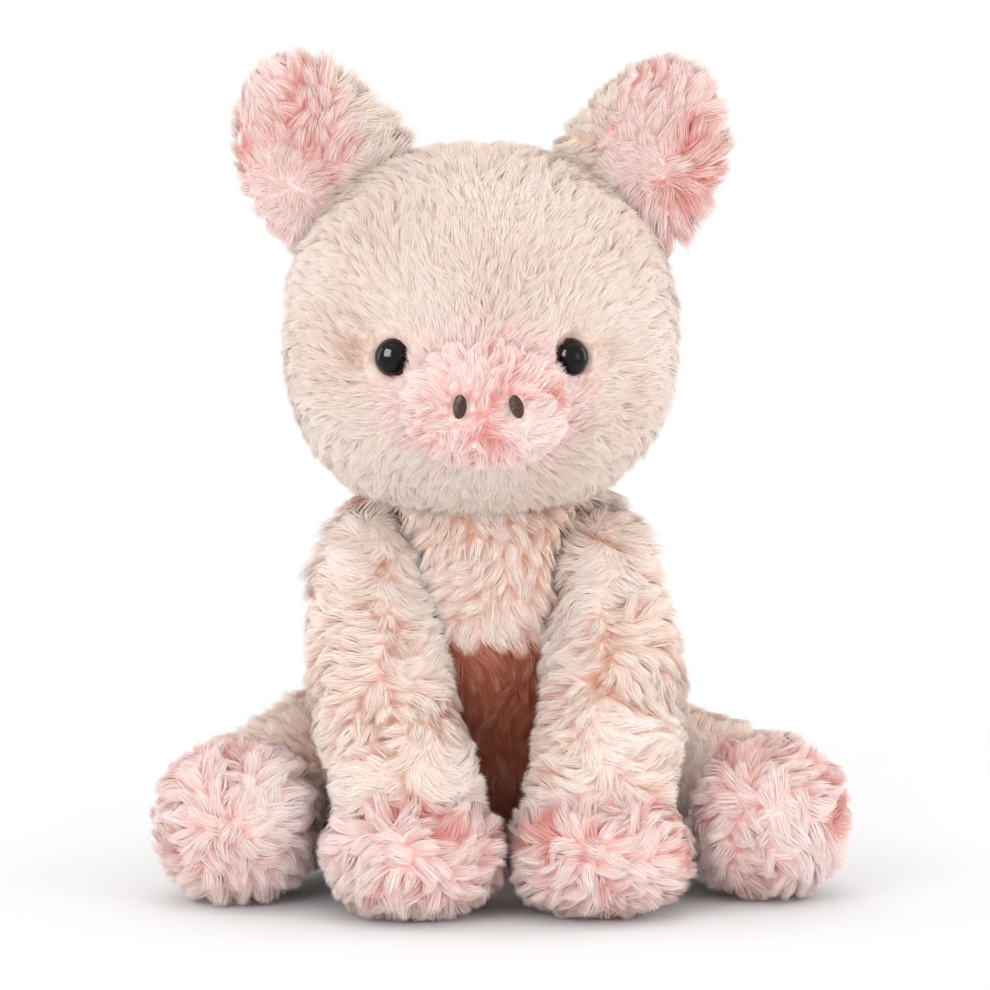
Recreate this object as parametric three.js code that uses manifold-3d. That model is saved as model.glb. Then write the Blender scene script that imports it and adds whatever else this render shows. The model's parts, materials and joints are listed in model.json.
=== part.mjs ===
// A plush pig, sitting up like a dog, made as a soft squeaky toy.
// Millimetres, +Z up. The pig faces -Y, and its own left side is +X.
// The origin is the middle of its footprint on the floor.
//
// The toy is built as it is sewn. Each stuffed part is a plush cover with a wad of
// fibre inside, and the covers meet at seams. The head, the legs, the ears and the tail
// each end in a rounded root that sits in a hollow of what carries it, so that each can
// flex about its seam. The eyes are studs whose stems pass through the cover to a washer
// inside, and a squeaker lies between the two wads of fibre in the body.

import * as THREE from 'three';
import { mergeVertices } from 'three/addons/utils/BufferGeometryUtils.js';
import Module from 'manifold-3d';

const wasm = await Module();
wasm.setup();

// Driving dimensions

const gap = 0.3; // between pieces that touch and don't move
const seamGap = 0.9; // between a root and the hollow that it flexes in
const ballGap = 1.2; // between a leg's ball and its hollow, which has flat facets
const crumb = 1; // mm3: what a cut leaves that is smaller than this isn't a piece
const plush = 6; // a cover's thickness: knitted backing and pressed-down pile
const backing = 1.2; // the knitted backing alone, under the pile
const floorFlat = 0.5; // how much the floor flattens each soft part

// Body: a pear that leans forwards, from the seat up to the shoulders
const shoulderCentre = new THREE.Vector3(0, -20, 100);
const shoulderWidth = 47; // half of it, from the middle to the side
const shoulderRound = 28; // radius of the shoulders seen from the side
const chestHeight = 74;
const chestY = -10;
const chestWidth = 49;
const chestDepth = 38;
const hipHeight = 40;
const hipY = 9;
const hipWidth = 53;
const hipDepth = 43;
const seatFullness = 2.7; // 2 is an ellipse, and more is squarer

// Head
const headCentre = new THREE.Vector3(-2, -24, 166); // it is set a little to the pig's right
const headWidth = 58; // half of each size, from the centre
const headDepth = 50;
const headHeight = 55;
const crownFullness = 2.2;
const jawFullness = 2.45;
const muzzleBulge = 9; // how far the face swells forwards round the snout
const muzzleWidth = 30;
const muzzleHeight = 22;
const muzzleFade = 1.5; // how fast the swelling fades round the sides of the face
const muzzleDrop = 17; // from the head's centre down to the middle of the muzzle

// Snout and nostrils
const snoutWidth = 24.5;
const snoutHeight = 19;
const snoutDepth = 8.5; // how far it stands in front of the muzzle
const snoutSeat = 6; // how far its middle lies behind the muzzle's front
const snoutFullness = 2.4;
const nostrilSpacing = 8; // from the middle of the snout
const nostrilWidth = 1.9;
const nostrilHeight = 3.4;
const nostrilLean = 12; // degrees that each leans towards the middle at its top
const nostrilSink = 1.6; // how deep its stitches pull into the snout
const nostrilCrown = 0.9;

// Eyes: a domed stud, its ribbed stem and the washer that locks it
const eyeTurns = { left: 26.5, right: 28.5 }; // degrees from the middle of the face
const eyeLift = -4; // degrees above the head's centre
const eyeRadius = 5.8;
const eyeDome = 5;
const eyeRim = 0.8;
const stemRadius = 1.7;
const stemLength = 9;
const stemRibs = 3;
const stemRibHeight = 0.35;
const stemTip = 0.8; // plain length behind its last rib
const stemTipRadius = 1;
const stemNeck = 1; // plain length between its ribs and the backing
const washerRadius = 6.6;
const washerThickness = 1.2;
const washerCone = 0.7; // how far its gripping teeth stand back from it

// Ears, in the plane of each ear: across is along its base, and up is towards its tip
const earLength = 46;
const earWidth = 24.5; // half of it
const earThickness = 6; // half of it: one layer of plush
const earCup = 7; // how far its edges curve forwards
const earCupStart = 0.6; // the share of its length over which the cup grows
const earRound = 0.7; // the share of its length over which its tip closes
const earTipFullness = 2.1;
const earFaceFullness = 1.4; // more than 1 makes its faces flatter and its edges fuller
const earSkew = 7; // degrees that it leans in from square to its base
const earAcross = 39; // from the head's centre line to the middle of the ear's base
const earAbove = 39; // from the head's centre up to the middle of the ear's base
const earY = 4; // behind the head's centre
const earSplay = 41; // degrees that the ear leans out from upright
const earTurn = 12; // degrees that its lining turns to the side
const earFlop = 15; // degrees that it flops each way
const earPlay = 3; // degrees more that its slot is open, as its cupped edges sweep wider
const earSeam = [[-13, -25], [0, -17], [9, 11], [20, 15], [33, 18], [61, 20]]; // [up, across]

// Front legs: from the shoulder down to a round hoof that stands on the floor
const shoulderX = 33;
const shoulderY = -30;
const shoulderZ = 96;
const shoulderBall = 18.5; // radius of the ball that the leg swings on
const shoulderNeck = 8; // radius of the fibre where it goes from the ball into the leg
const frontSwing = 40; // degrees that it swings forwards
const elbowX = 34.5;
const elbowY = -51;
const elbowZ = 64;
const elbowRadius = 21;
const wristBack = 7; // behind the middle of the hoof
const wristZ = 30;
const wristRadius = 21.5;
const frontHoofX = 26.9;
const frontHoofY = -75;
const frontHoofWidth = 26.4; // half of each size
const frontHoofLength = 27;
const frontHoofHeight = 18.3;
const hoofFullness = 2.3;

// Hind legs: from the hip forwards and outwards along the floor
const hipX = 37;
const hipJointY = 6;
const hipJointZ = 33;
const hipBall = 26; // radius of the ball that the leg swings on
const hipNeck = 9; // radius of the fibre where it goes from the ball into the leg
const hindSwing = 15; // degrees that it lifts
const kneeX = 59;
const kneeY = -20;
const kneeZ = 27.5;
const kneeRadius = 23.5;
const ankleX = 75;
const ankleY = -41;
const ankleZ = 25;
const ankleRadius = 22;
const hindSplay = 37; // degrees that it points out from straight ahead
const hindHoofX = 78.4;
const hindHoofY = -50;
const hindHoofWidth = 23.8; // half of each size
const hindHoofLength = 24;
const hindHoofHeight = 23.8;

// The body sits this far to the pig's right of the middle of its four feet
const feetShift = 4;

// Tail: a curl of one turn and a bit
const tailRadius = 5;
const tailTip = 3.4; // radius at its tip
const tailReach = 11; // how far it runs straight back before it curls
const tailCurl = 8.5; // radius of the curl
const tailTurns = 1.2;
const tailPitch = 13; // how far the curl runs back in a turn
const tailHeight = 46;
const tailWag = 20; // degrees each way

// Squeaker: a hollow pressed bulb with a reed in its back
const squeakerRadius = 21;
const squeakerDepth = 12; // half of it
const squeakerWall = 1.4;
const squeakerHeight = 64;
const squeakerY = -5;
const reedRadius = 3.6;
const reedBore = 1.3;
const reedLength = 7;
const reedFlange = 5.2;
const reedFlangeThickness = 1.2;

// Facets round a form and along it. Covers are finer outside than inside.
const bodyFacets = { around: 20, along: 13 };
const liningFacets = { around: 12, along: 7 };
const limbFacets = { around: 14, along: 6 };
const limbLiningFacets = { around: 8, along: 4 };
const tailFacets = { around: 7, along: 14 };
const hollowFacets = { around: 14, along: 8 };
const smallFacets = 12; // round a turned piece

// Materials

function material(colour, roughness) {
  return new THREE.MeshStandardMaterial({ color: colour, roughness, metalness: 0 });
}

const creamPlush = material(0xecdccd, 0.95);
const pinkPlush = material(0xf0c3bd, 0.95);
const fibre = material(0xf4f3ef, 1);
const eyePlastic = material(0x140c0b, 0.08);
const washerPlastic = material(0xe8e6df, 0.6);
const nostrilThread = material(0x4a2f27, 0.7);
const squeakerPlastic = material(0xdfe4e2, 0.35);

// Solids

const vector = (x, y, z) => new THREE.Vector3(x, y, z);
const radians = THREE.MathUtils.degToRad;
const power = (value, exponent) => Math.sign(value) * Math.abs(value) ** exponent;

// A closed geometry as a solid, turned the right way out if it was mirrored.
function solidOf(geometry) {
  const bare = new THREE.BufferGeometry();
  bare.setAttribute('position', geometry.getAttribute('position'));
  bare.setIndex(geometry.getIndex());
  const merged = mergeVertices(bare, 1e-4);
  const triVerts = new Uint32Array(merged.index.array);
  const vertProperties = merged.attributes.position.array;
  const made = new wasm.Manifold(new wasm.Mesh({ numProp: 3, vertProperties, triVerts }));
  if (made.volume() > 0) return made;
  for (let i = 0; i < triVerts.length; i += 3) {
    [triVerts[i + 1], triVerts[i + 2]] = [triVerts[i + 2], triVerts[i + 1]];
  }
  return new wasm.Manifold(new wasm.Mesh({ numProp: 3, vertProperties, triVerts }));
}

function join(...solids) {
  return solids.reduce((all, one) => all.add(one));
}

function cut(solid, ...tools) {
  return tools.reduce((left, tool) => left.subtract(tool), solid);
}

const withoutCrumbs = (solid) => join(...solid.decompose().filter((part) => part.volume() > crumb));

// A closed skin from a start point, over rings of points, to an end point.
function loft(start, rings, end) {
  const around = rings[0].length;
  const points = [start, ...rings.flat(), end];
  const last = points.length - 1;
  const at = (ring, side) => 1 + ring * around + (side % around);
  const index = [];
  for (let side = 0; side < around; side++) {
    index.push(0, at(0, side + 1), at(0, side));
    for (let ring = 0; ring + 1 < rings.length; ring++) {
      const [a, b] = [at(ring, side), at(ring, side + 1)];
      const [c, d] = [at(ring + 1, side + 1), at(ring + 1, side)];
      index.push(a, b, c, a, c, d);
    }
    index.push(last, at(rings.length - 1, side), at(rings.length - 1, side + 1));
  }
  const geometry = new THREE.BufferGeometry().setFromPoints(points);
  return geometry.setIndex(index);
}

// One ring of a loft: an ellipse with its two half-widths given as vectors.
function ellipse(centre, across, up, around) {
  return Array.from({ length: around }, (_, side) => {
    const angle = (2 * Math.PI * side) / around;
    return centre.clone()
      .addScaledVector(across, Math.cos(angle))
      .addScaledVector(up, Math.sin(angle));
  });
}

// A rounded form whose surface in each direction is given by a function.
function roundForm(surface, { around, along }) {
  const rings = [];
  for (let row = 1; row < along; row++) {
    const tilt = -Math.PI / 2 + (Math.PI * row) / along;
    rings.push(Array.from({ length: around }, (_, side) => {
      const angle = (2 * Math.PI * side) / around;
      const flat = Math.cos(tilt);
      return surface(vector(flat * Math.cos(angle), flat * Math.sin(angle), Math.sin(tilt)));
    }));
  }
  return solidOf(loft(surface(vector(0, 0, -1)), rings, surface(vector(0, 0, 1))));
}

// The point of a squared-off ellipsoid in one direction from its centre.
function fullPoint(direction, centre, radii, fullness) {
  const { x, y, z } = direction;
  const sum = Math.abs(x) ** fullness + Math.abs(y) ** fullness + Math.abs(z) ** fullness;
  return direction.clone().multiplyScalar(sum ** (-1 / fullness)).multiply(radii).add(centre);
}

function ovoid(centre, radii, fullness, grow, facets) {
  const grown = radii.clone().addScalar(grow);
  return roundForm((way) => fullPoint(way, centre, grown, fullness), facets);
}

function ball(centre, radius, facets) {
  return ovoid(centre, vector(radius, radius, radius), 2, 0, facets);
}

// A stuffed tube along a curve. Its radius changes from end to end, and its ends are round.
function stuffedTube(points, radii, grow, { around, along }) {
  const curve = new THREE.CatmullRomCurve3(points, false, 'centripetal');
  const capRows = Math.round(along / 3);
  const ringAt = (share, ahead, scale) => {
    const way = curve.getTangent(share);
    const across = vector(1, 0, 0).addScaledVector(way, -way.x).normalize();
    const up = way.clone().cross(across);
    const radius = radiusAlong(radii, share) + grow;
    const centre = curve.getPoint(share).addScaledVector(way, ahead * radius);
    return ellipse(
      centre, across.multiplyScalar(radius * scale), up.multiplyScalar(radius * scale), around,
    );
  };
  const capAngles = Array.from({ length: capRows - 1 }, (_, row) =>
    (Math.PI / 2) * ((row + 1) / capRows));
  const rings = capAngles.map((angle) => ringAt(0, -Math.cos(angle), Math.sin(angle)));
  for (let step = 0; step <= along; step++) rings.push(ringAt(step / along, 0, 1));
  rings.push(...capAngles.reverse().map((angle) => ringAt(1, Math.cos(angle), Math.sin(angle))));
  const tip = (share, way) => curve.getPoint(share)
    .addScaledVector(curve.getTangent(share), way * (radiusAlong(radii, share) + grow));
  return solidOf(loft(tip(0, -1), rings, tip(1, 1)));
}

// A radius between evenly spaced ones, eased so that the sides have no corners.
function radiusAlong(radii, share) {
  const place = share * (radii.length - 1);
  const first = Math.min(Math.floor(place), radii.length - 2);
  const eased = THREE.MathUtils.smoothstep(place - first, 0, 1);
  return THREE.MathUtils.lerp(radii[first], radii[first + 1], eased);
}

// A solid turned about a line, from its [radius, along] outline.
function turned(outline, base, direction) {
  const points = outline.map(([radius, along]) => new THREE.Vector2(radius, along));
  const geometry = new THREE.LatheGeometry(points, smallFacets);
  const turn = new THREE.Quaternion().setFromUnitVectors(vector(0, 1, 0), direction);
  geometry.applyQuaternion(turn).translate(base.x, base.y, base.z);
  return solidOf(geometry);
}

function cylinder(radius, from, to, base, direction) {
  return turned([[0, from], [radius, from], [radius, to], [0, to]], base, direction);
}

function box(low, high) {
  const size = high.clone().sub(low);
  const middle = low.clone().add(high).multiplyScalar(0.5);
  const geometry = new THREE.BoxGeometry(size.x, size.y, size.z);
  return solidOf(geometry.translate(middle.x, middle.y, middle.z));
}

const wide = 400; // past the toy on every side
const floor = box(vector(-wide, -wide, -wide), vector(wide, wide, 0));

// Body

// Level rings: a full round seat, a pear-shaped flank, and shoulders that are round about
// the line through the shoulder centre, so that the head can nod on them.
function bodyGeometry(grow, { around, along }) {
  const rings = [];
  const level = (z, y, width, depth) => rings.push(
    ellipse(vector(0, y, z), vector(width + grow, 0, 0), vector(0, depth + grow, 0), around),
  );
  const rows = Math.round(along / 3);
  const seatDepth = hipHeight + floorFlat + grow;
  const seatPower = 2 / seatFullness;
  for (let row = 1; row <= rows; row++) {
    const angle = (Math.PI / 2) * (row / rows);
    const reach = power(Math.sin(angle), seatPower);
    const z = hipHeight - seatDepth * power(Math.cos(angle), seatPower);
    level(z, hipY, (hipWidth + grow) * reach - grow, (hipDepth + grow) * reach - grow);
  }
  const flankWidth = new THREE.SplineCurve([
    new THREE.Vector2(hipHeight, hipWidth),
    new THREE.Vector2(chestHeight, chestWidth),
    new THREE.Vector2(shoulderCentre.z, shoulderWidth),
  ]);
  const flankDepth = new THREE.SplineCurve([
    new THREE.Vector2(hipY, hipDepth),
    new THREE.Vector2(chestY, chestDepth),
    new THREE.Vector2(shoulderCentre.y, shoulderRound),
  ]);
  for (let row = 1; row <= rows; row++) {
    const [wide, deep] = [flankWidth.getPoint(row / rows), flankDepth.getPoint(row / rows)];
    level(wide.x, deep.x, wide.y, deep.y);
  }
  const crown = shoulderRound + grow;
  for (let row = rows - 1; row >= 1; row--) {
    const angle = (Math.PI / 2) * (row / rows);
    const reach = Math.sin(angle);
    const z = shoulderCentre.z + crown * Math.cos(angle);
    level(z, shoulderCentre.y, (shoulderWidth + grow) * reach - grow, crown * reach - grow);
  }
  const top = vector(0, shoulderCentre.y, shoulderCentre.z + crown);
  return loft(vector(0, hipY, hipHeight - seatDepth), rings, top);
}

const bodyOutside = (grow) => solidOf(bodyGeometry(grow, bodyFacets));
const bodyInside = (grow) => solidOf(bodyGeometry(grow - plush, liningFacets));

// Head

function headPoint(way, grow) {
  const level = 0.4; // the crown turns into the jaw from this far above the centre to as far below
  const blend = THREE.MathUtils.smoothstep(-way.z, -level, level);
  const fullness = THREE.MathUtils.lerp(crownFullness, jawFullness, blend);
  const radii = vector(headWidth + grow, headDepth + grow, headHeight + grow);
  const point = fullPoint(way, headCentre, radii, fullness);
  const across = (point.x - headCentre.x) / muzzleWidth;
  const down = (point.z - headCentre.z + muzzleDrop) / muzzleHeight;
  const facing = Math.max(0, -way.y) ** muzzleFade;
  point.y -= muzzleBulge * facing * Math.exp(-(across ** 2) - down ** 2);
  return point;
}

const headOutside = (grow) => roundForm((way) => headPoint(way, grow), bodyFacets);
const headInside = (grow) => roundForm((way) => headPoint(way, grow - plush), liningFacets);

// Where a line from the head's centre leaves its surface, and the way that the skin faces.
function onHead(turn, lift) {
  const way = (a, b) => vector(Math.sin(a) * Math.cos(b), -Math.cos(a) * Math.cos(b), Math.sin(b));
  const step = 0.02;
  const [a, b] = [radians(turn), radians(lift)];
  const point = headPoint(way(a, b), 0);
  const sideways = headPoint(way(a + step, b), 0).sub(point);
  const upwards = headPoint(way(a, b + step), 0).sub(point);
  return { point, normal: sideways.cross(upwards).normalize() };
}

// Snout

const muzzleFront = headPoint(vector(0, -1, -muzzleDrop / headDepth).normalize(), 0).y;
const snoutCentre = vector(headCentre.x, muzzleFront + snoutSeat, headCentre.z - muzzleDrop);
const snoutRadii = vector(snoutWidth, snoutDepth + snoutSeat, snoutHeight);
const snoutOutside = (grow) => ovoid(snoutCentre, snoutRadii, snoutFullness, grow, limbFacets);

// The snout's front surface at a place across from its middle and level with it.
function snoutFront(across) {
  const left = 1 - Math.abs(across / snoutRadii.x) ** snoutFullness;
  return snoutCentre.y - snoutRadii.y * left ** (1 / snoutFullness);
}

// An oval along the nostril's axis, from a depth in the snout to a height above it.
function nostrilOval(side, grow, deep, high, bevel) {
  const across = side * nostrilSpacing;
  const step = 1;
  const slope = (snoutFront(across + step) - snoutFront(across - step)) / (2 * step);
  const outline = new THREE.Shape();
  outline.absellipse(0, 0, nostrilWidth + grow, nostrilHeight + grow, 0, 2 * Math.PI);
  const geometry = new THREE.ExtrudeGeometry(outline, {
    depth: deep + high - bevel,
    curveSegments: 8,
    bevelEnabled: bevel > 0,
    bevelThickness: bevel,
    bevelSize: bevel,
    bevelOffset: -bevel,
    bevelSegments: 2,
  });
  geometry.translate(0, 0, -deep)
    .rotateZ(radians(side * nostrilLean))
    .rotateX(Math.PI / 2)
    .rotateZ(Math.atan(slope))
    .translate(snoutCentre.x + across, snoutFront(across), snoutCentre.z);
  return solidOf(geometry);
}

const nostril = (side) => nostrilOval(side, 0, nostrilSink - nostrilCrown, nostrilCrown, nostrilCrown);
const nostrilHollow = (side) => nostrilOval(side, gap, nostrilSink + gap, snoutDepth, 0);

// Eyes

// The stud's back lies on the knitted backing, at 0 along its axis, deep in the pile.
function eyePlace(side) {
  const turn = side > 0 ? eyeTurns.left : eyeTurns.right;
  const { point, normal } = onHead(side * turn, eyeLift);
  return [point.addScaledVector(normal, backing - plush), normal];
}

function eyeStud(side) {
  const outline = [[0, -stemLength], [stemTipRadius, -stemLength]];
  const ribsStart = -stemLength + stemTip;
  const ribPitch = (-backing - stemNeck - ribsStart) / stemRibs;
  const ribLength = ribPitch * 0.8;
  for (let rib = 0; rib < stemRibs; rib++) {
    const start = ribsStart + rib * ribPitch;
    outline.push([stemRadius, start], [stemRadius + stemRibHeight, start + ribLength]);
  }
  outline.push([stemRadius, -backing - stemNeck], [stemRadius, 0]);
  outline.push([eyeRadius - eyeRim / 2, 0]);
  outline.push([eyeRadius, eyeRim / 2]);
  const rows = 4;
  for (let row = 0; row <= rows; row++) {
    const angle = (Math.PI / 2) * (row / rows);
    const radius = row === rows ? 0 : eyeRadius * Math.cos(angle);
    outline.push([radius, eyeRim + (eyeDome - eyeRim) * Math.sin(angle)]);
  }
  return turned(outline, ...eyePlace(side));
}

const stemRoom = stemRadius + stemRibHeight + gap;
const washerFront = -backing - 2 * gap;
const washerBack = washerFront - washerThickness;

// The washer's teeth grip the stem's ribs. They are drawn as one cone round its bore.
function eyeWasher(side) {
  return turned([
    [stemRoom, washerBack - washerCone], [stemRoom + washerCone, washerBack],
    [washerRadius, washerBack], [washerRadius, washerFront], [stemRoom, washerFront],
    [stemRoom, washerBack - washerCone],
  ], ...eyePlace(side));
}

// What the stud needs cleared in the cover, and what stud and washer need in the fibre.
const eyeHole = (side) => join(
  cylinder(eyeRadius + gap, -gap, plush * 2, ...eyePlace(side)),
  cylinder(stemRoom, -plush * 2, 0, ...eyePlace(side)),
  cylinder(washerRadius + gap, -plush * 2, washerFront + gap, ...eyePlace(side)),
);
const eyePocket = (side) => join(
  cylinder(washerRadius + gap, washerBack - washerCone - gap, 0, ...eyePlace(side)),
  cylinder(stemRoom, -stemLength - gap, 0, ...eyePlace(side)),
);

// Ears

// Half of the ear's width, half of its thickness and its cupping at a height above its base.
function earSection(up, grow) {
  const round = earLength * earRound;
  const beyond = Math.max(0, (up - (earLength - round)) / round);
  const close = Math.max(0, 1 - beyond ** earTipFullness) ** (1 / earTipFullness);
  return {
    width: earWidth * close + grow,
    thickness: earThickness * Math.sqrt(close) + grow,
    cup: earCup * THREE.MathUtils.smoothstep(up, 0, earLength * earCupStart) * close,
  };
}

// A place in the ear's plane, leaned in, and how deep it is.
function earPoint(across, up, deep) {
  return vector(across + Math.max(0, up) * Math.tan(radians(earSkew)), up, deep);
}

// A ring of the ear. The root's rings, below the base, draw in to a rounded edge.
function earRing(up, grow, spread, around, narrow) {
  const section = earSection(Math.max(0, up), grow);
  const flare = spread * Math.max(0, up);
  const half = section.width - (1 - narrow) * section.thickness + flare;
  const deep = section.thickness * narrow + flare;
  return Array.from({ length: around }, (_, side) => {
    const angle = (2 * Math.PI * side) / around;
    const across = half * Math.cos(angle);
    const curl = section.cup * (across / half) ** 2;
    return earPoint(across, up, curl + deep * power(Math.sin(angle), 1 / earFaceFullness));
  });
}

// The ear in its own plane: across is X, up is Y and its lining faces Z. With spread, it
// widens from its base as what a flopping ear sweeps through does.
function earGeometry(grow, { around, along }, spread = 0) {
  const rings = [];
  const rootRows = 3;
  const root = earThickness + grow;
  for (let row = 1; row <= rootRows; row++) {
    const angle = (Math.PI / 2) * (row / rootRows);
    rings.push(earRing(-root * Math.cos(angle), grow, spread, around, Math.sin(angle)));
  }
  for (let row = 1; row < along; row++) {
    const up = earLength * Math.sin((Math.PI / 2) * (row / along));
    rings.push(earRing(up, grow, spread, around, 1));
  }
  return loft(vector(0, -root, 0), rings, earPoint(0, earLength + grow, 0));
}

// How far across the seam between lining and back is, at a height above the base.
function seamAt(up) {
  const next = Math.max(1, earSeam.findIndex(([height]) => height >= up));
  const [[low, from], [high, to]] = [earSeam[next - 1], earSeam[next]];
  return THREE.MathUtils.mapLinear(up, low, high, from, to);
}

// All that lies in front of the ear's middle, up to the seam. It parts lining from back.
function liningRoom(grow) {
  const samples = 7;
  const rows = 10;
  const beyond = earWidth * 2;
  const middle = earWidth / 2; // deep enough to close the room's ends inside it
  const tipStart = earLength * 0.9;
  const cupLimit = 1.6; // the cup goes on past the ear's edge, but no further than this
  const [lowest, highest] = [earSeam[0][0], earSeam.at(-1)[0]];
  const rings = Array.from({ length: rows + 1 }, (_, row) => {
    const up = THREE.MathUtils.lerp(lowest + 1, highest - 1, row / rows);
    const { width, cup } = earSection(THREE.MathUtils.clamp(up, 0, tipStart), 0);
    const line = Array.from({ length: samples }, (_, i) =>
      THREE.MathUtils.lerp(-beyond, seamAt(up) + grow, Math.sqrt(i / (samples - 1))));
    const behind = line.map((across) =>
      earPoint(across, up, cup * Math.min(cupLimit, (across / width) ** 2) + gap / 2 - grow));
    const ahead = line.map((across) => earPoint(across, up, beyond)).reverse();
    return [...behind, ...ahead];
  });
  return loft(vector(-earWidth, lowest, middle), rings, vector(-earWidth, highest, middle));
}

// From the ear's own plane to its place on the head, on the side given by its sign.
function earMatrix(side) {
  const lean = radians(earSplay);
  const across = vector(Math.cos(lean), 0, Math.sin(lean));
  const up = vector(-Math.sin(lean), 0, Math.cos(lean));
  const facing = vector(0, -1, 0);
  return new THREE.Matrix4().makeTranslation(headCentre)
    .multiply(new THREE.Matrix4().makeScale(-side, 1, 1))
    .multiply(new THREE.Matrix4().makeTranslation(-earAcross, earY, earAbove))
    .multiply(new THREE.Matrix4().makeBasis(across, up, facing))
    .multiply(new THREE.Matrix4().makeRotationY(-radians(earTurn)));
}

const onEar = (geometry, side) => solidOf(geometry.applyMatrix4(earMatrix(side)));
const earSpread = Math.tan(radians(earFlop + earPlay));
const slotFacets = { ...limbFacets, along: 5 };
const earSlot = (side) => onEar(earGeometry(seamGap, slotFacets, earSpread), side);

function earPieces(side) {
  const whole = onEar(earGeometry(0, limbFacets), side);
  return {
    lining: whole.intersect(onEar(liningRoom(0), side)),
    back: whole.subtract(onEar(liningRoom(gap), side)),
  };
}

// Legs

const sides = { left: 1, right: -1 };

const legs = {
  front: {
    root: (side) => vector(side * shoulderX, shoulderY, shoulderZ),
    path: (side) => [
      legs.front.root(side),
      vector(side * elbowX + feetShift / 2, elbowY, elbowZ),
      vector(side * frontHoofX + feetShift, frontHoofY + wristBack, wristZ),
    ],
    ball: shoulderBall,
    radii: [shoulderBall - ballGap, elbowRadius, wristRadius],
    hoofCentre: (side) => vector(
      side * frontHoofX + feetShift, frontHoofY, frontHoofHeight - floorFlat,
    ),
    hoofRadii: vector(frontHoofWidth, frontHoofLength, frontHoofHeight),
    axis: () => vector(-1, 0, 0),
    way: () => vector(0, -1, 0),
    neck: shoulderNeck,
    swing: frontSwing,
  },
  hind: {
    root: (side) => vector(side * hipX, hipJointY, hipJointZ),
    path: (side) => [
      legs.hind.root(side),
      vector(side * kneeX + feetShift / 2, kneeY, kneeZ),
      vector(side * ankleX + feetShift, ankleY, ankleZ),
    ],
    ball: hipBall,
    radii: [hipBall - ballGap, kneeRadius, ankleRadius],
    hoofCentre: (side) => vector(
      side * hindHoofX + feetShift, hindHoofY, hindHoofHeight - floorFlat,
    ),
    hoofRadii: vector(hindHoofWidth, hindHoofLength, hindHoofHeight),
    axis: (side) => vector(-Math.cos(radians(hindSplay)), -side * Math.sin(radians(hindSplay)), 0),
    way: (side) => vector(side * Math.sin(radians(hindSplay)), -Math.cos(radians(hindSplay)), 0),
    neck: hipNeck,
    swing: hindSwing,
  },
};

const rootBall = (leg, side, grow) => ball(leg.root(side), leg.ball + grow, hollowFacets);

// What the body takes up as a leg swings through its range, as the leg itself meets it.
function sweptBody(leg, side, grow) {
  const root = leg.root(side);
  const [facets, steps] = grow > gap ? [liningFacets, 1] : [bodyFacets, Math.ceil(leg.swing / 20)];
  return join(...Array.from({ length: steps + 1 }, (_, step) => {
    const angle = -radians(leg.swing) * (step / steps);
    const place = new THREE.Matrix4().makeTranslation(root)
      .multiply(new THREE.Matrix4().makeRotationAxis(leg.axis(side), angle))
      .multiply(new THREE.Matrix4().makeTranslation(root.clone().negate()));
    const clearance = step ? grow + seamGap - gap : grow;
    return solidOf(bodyGeometry(clearance, facets).applyMatrix4(place));
  }));
}

// The outside of a leg's tube and of its hoof, or with a negative grow a lining inside
// them. Both lie against the body, where only the ball at the leg's root goes in. The neck
// between ball and leg is lined with backing alone.
function legForms(leg, side, grow) {
  const facets = grow < 0 ? limbLiningFacets : limbFacets;
  const tube = stuffedTube(leg.path(side), leg.radii, grow, facets);
  const hoof = ovoid(leg.hoofCentre(side), leg.hoofRadii, hoofFullness, grow, facets);
  const sleeve = grow < 0 ? grow + plush - backing : 0;
  const neck = cylinder(
    leg.neck + sleeve, 0, leg.ball + plush, leg.root(side), leg.way(side),
  );
  const room = cut(sweptBody(leg, side, gap - grow), rootBall(leg, side, grow), neck);
  return [tube, hoof].map((form) => cut(form, room));
}

// A leg as three pieces: the cream cover, the pink hoof that closes its end, and the fibre
// in both. A hind leg also keeps clear of the front leg that it lies beside.
function legPieces(leg, side) {
  const neighbours = (grow) => (leg === legs.hind
    ? [
      stuffedTube(legs.front.path(side), legs.front.radii, grow, limbFacets),
      ovoid(legs.front.hoofCentre(side), legs.front.hoofRadii, hoofFullness, grow, limbFacets),
    ]
    : []);
  const [tube, hoof] = legForms(leg, side, 0);
  const hoofRoom = ovoid(leg.hoofCentre(side), leg.hoofRadii, hoofFullness, gap, limbFacets);
  const inside = (grow) => cut(join(...legForms(leg, side, grow)), ...neighbours(seamGap - grow));
  const hollow = inside(-plush);
  return {
    cover: cut(tube, hoofRoom, hollow, ...neighbours(seamGap), floor),
    hoof: cut(hoof, hollow, ...neighbours(seamGap), floor),
    fill: inside(-plush - gap),
  };
}

// Tail

// The tail grows out of a ball in the back and curls round a line that runs backwards.
const tailRoot = vector(0, hipY + hipDepth - tailRadius, tailHeight);

function tailForm() {
  const points = [tailRoot];
  const steps = Math.round(tailTurns * 10);
  for (let step = 0; step <= steps; step++) {
    const turn = 2 * Math.PI * tailTurns * (step / steps);
    points.push(vector(
      tailCurl * Math.sin(turn),
      tailRoot.y + tailReach + (tailPitch * turn) / (2 * Math.PI),
      tailRoot.z + tailCurl * (1 - Math.cos(turn)),
    ));
  }
  return stuffedTube(points, [tailRadius, tailRadius, tailTip], 0, tailFacets);
}

// Squeaker

const squeakerCentre = vector(0, squeakerY, squeakerHeight);
const backwards = vector(0, 1, 0);
const reedHole = reedRadius + gap;

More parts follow.
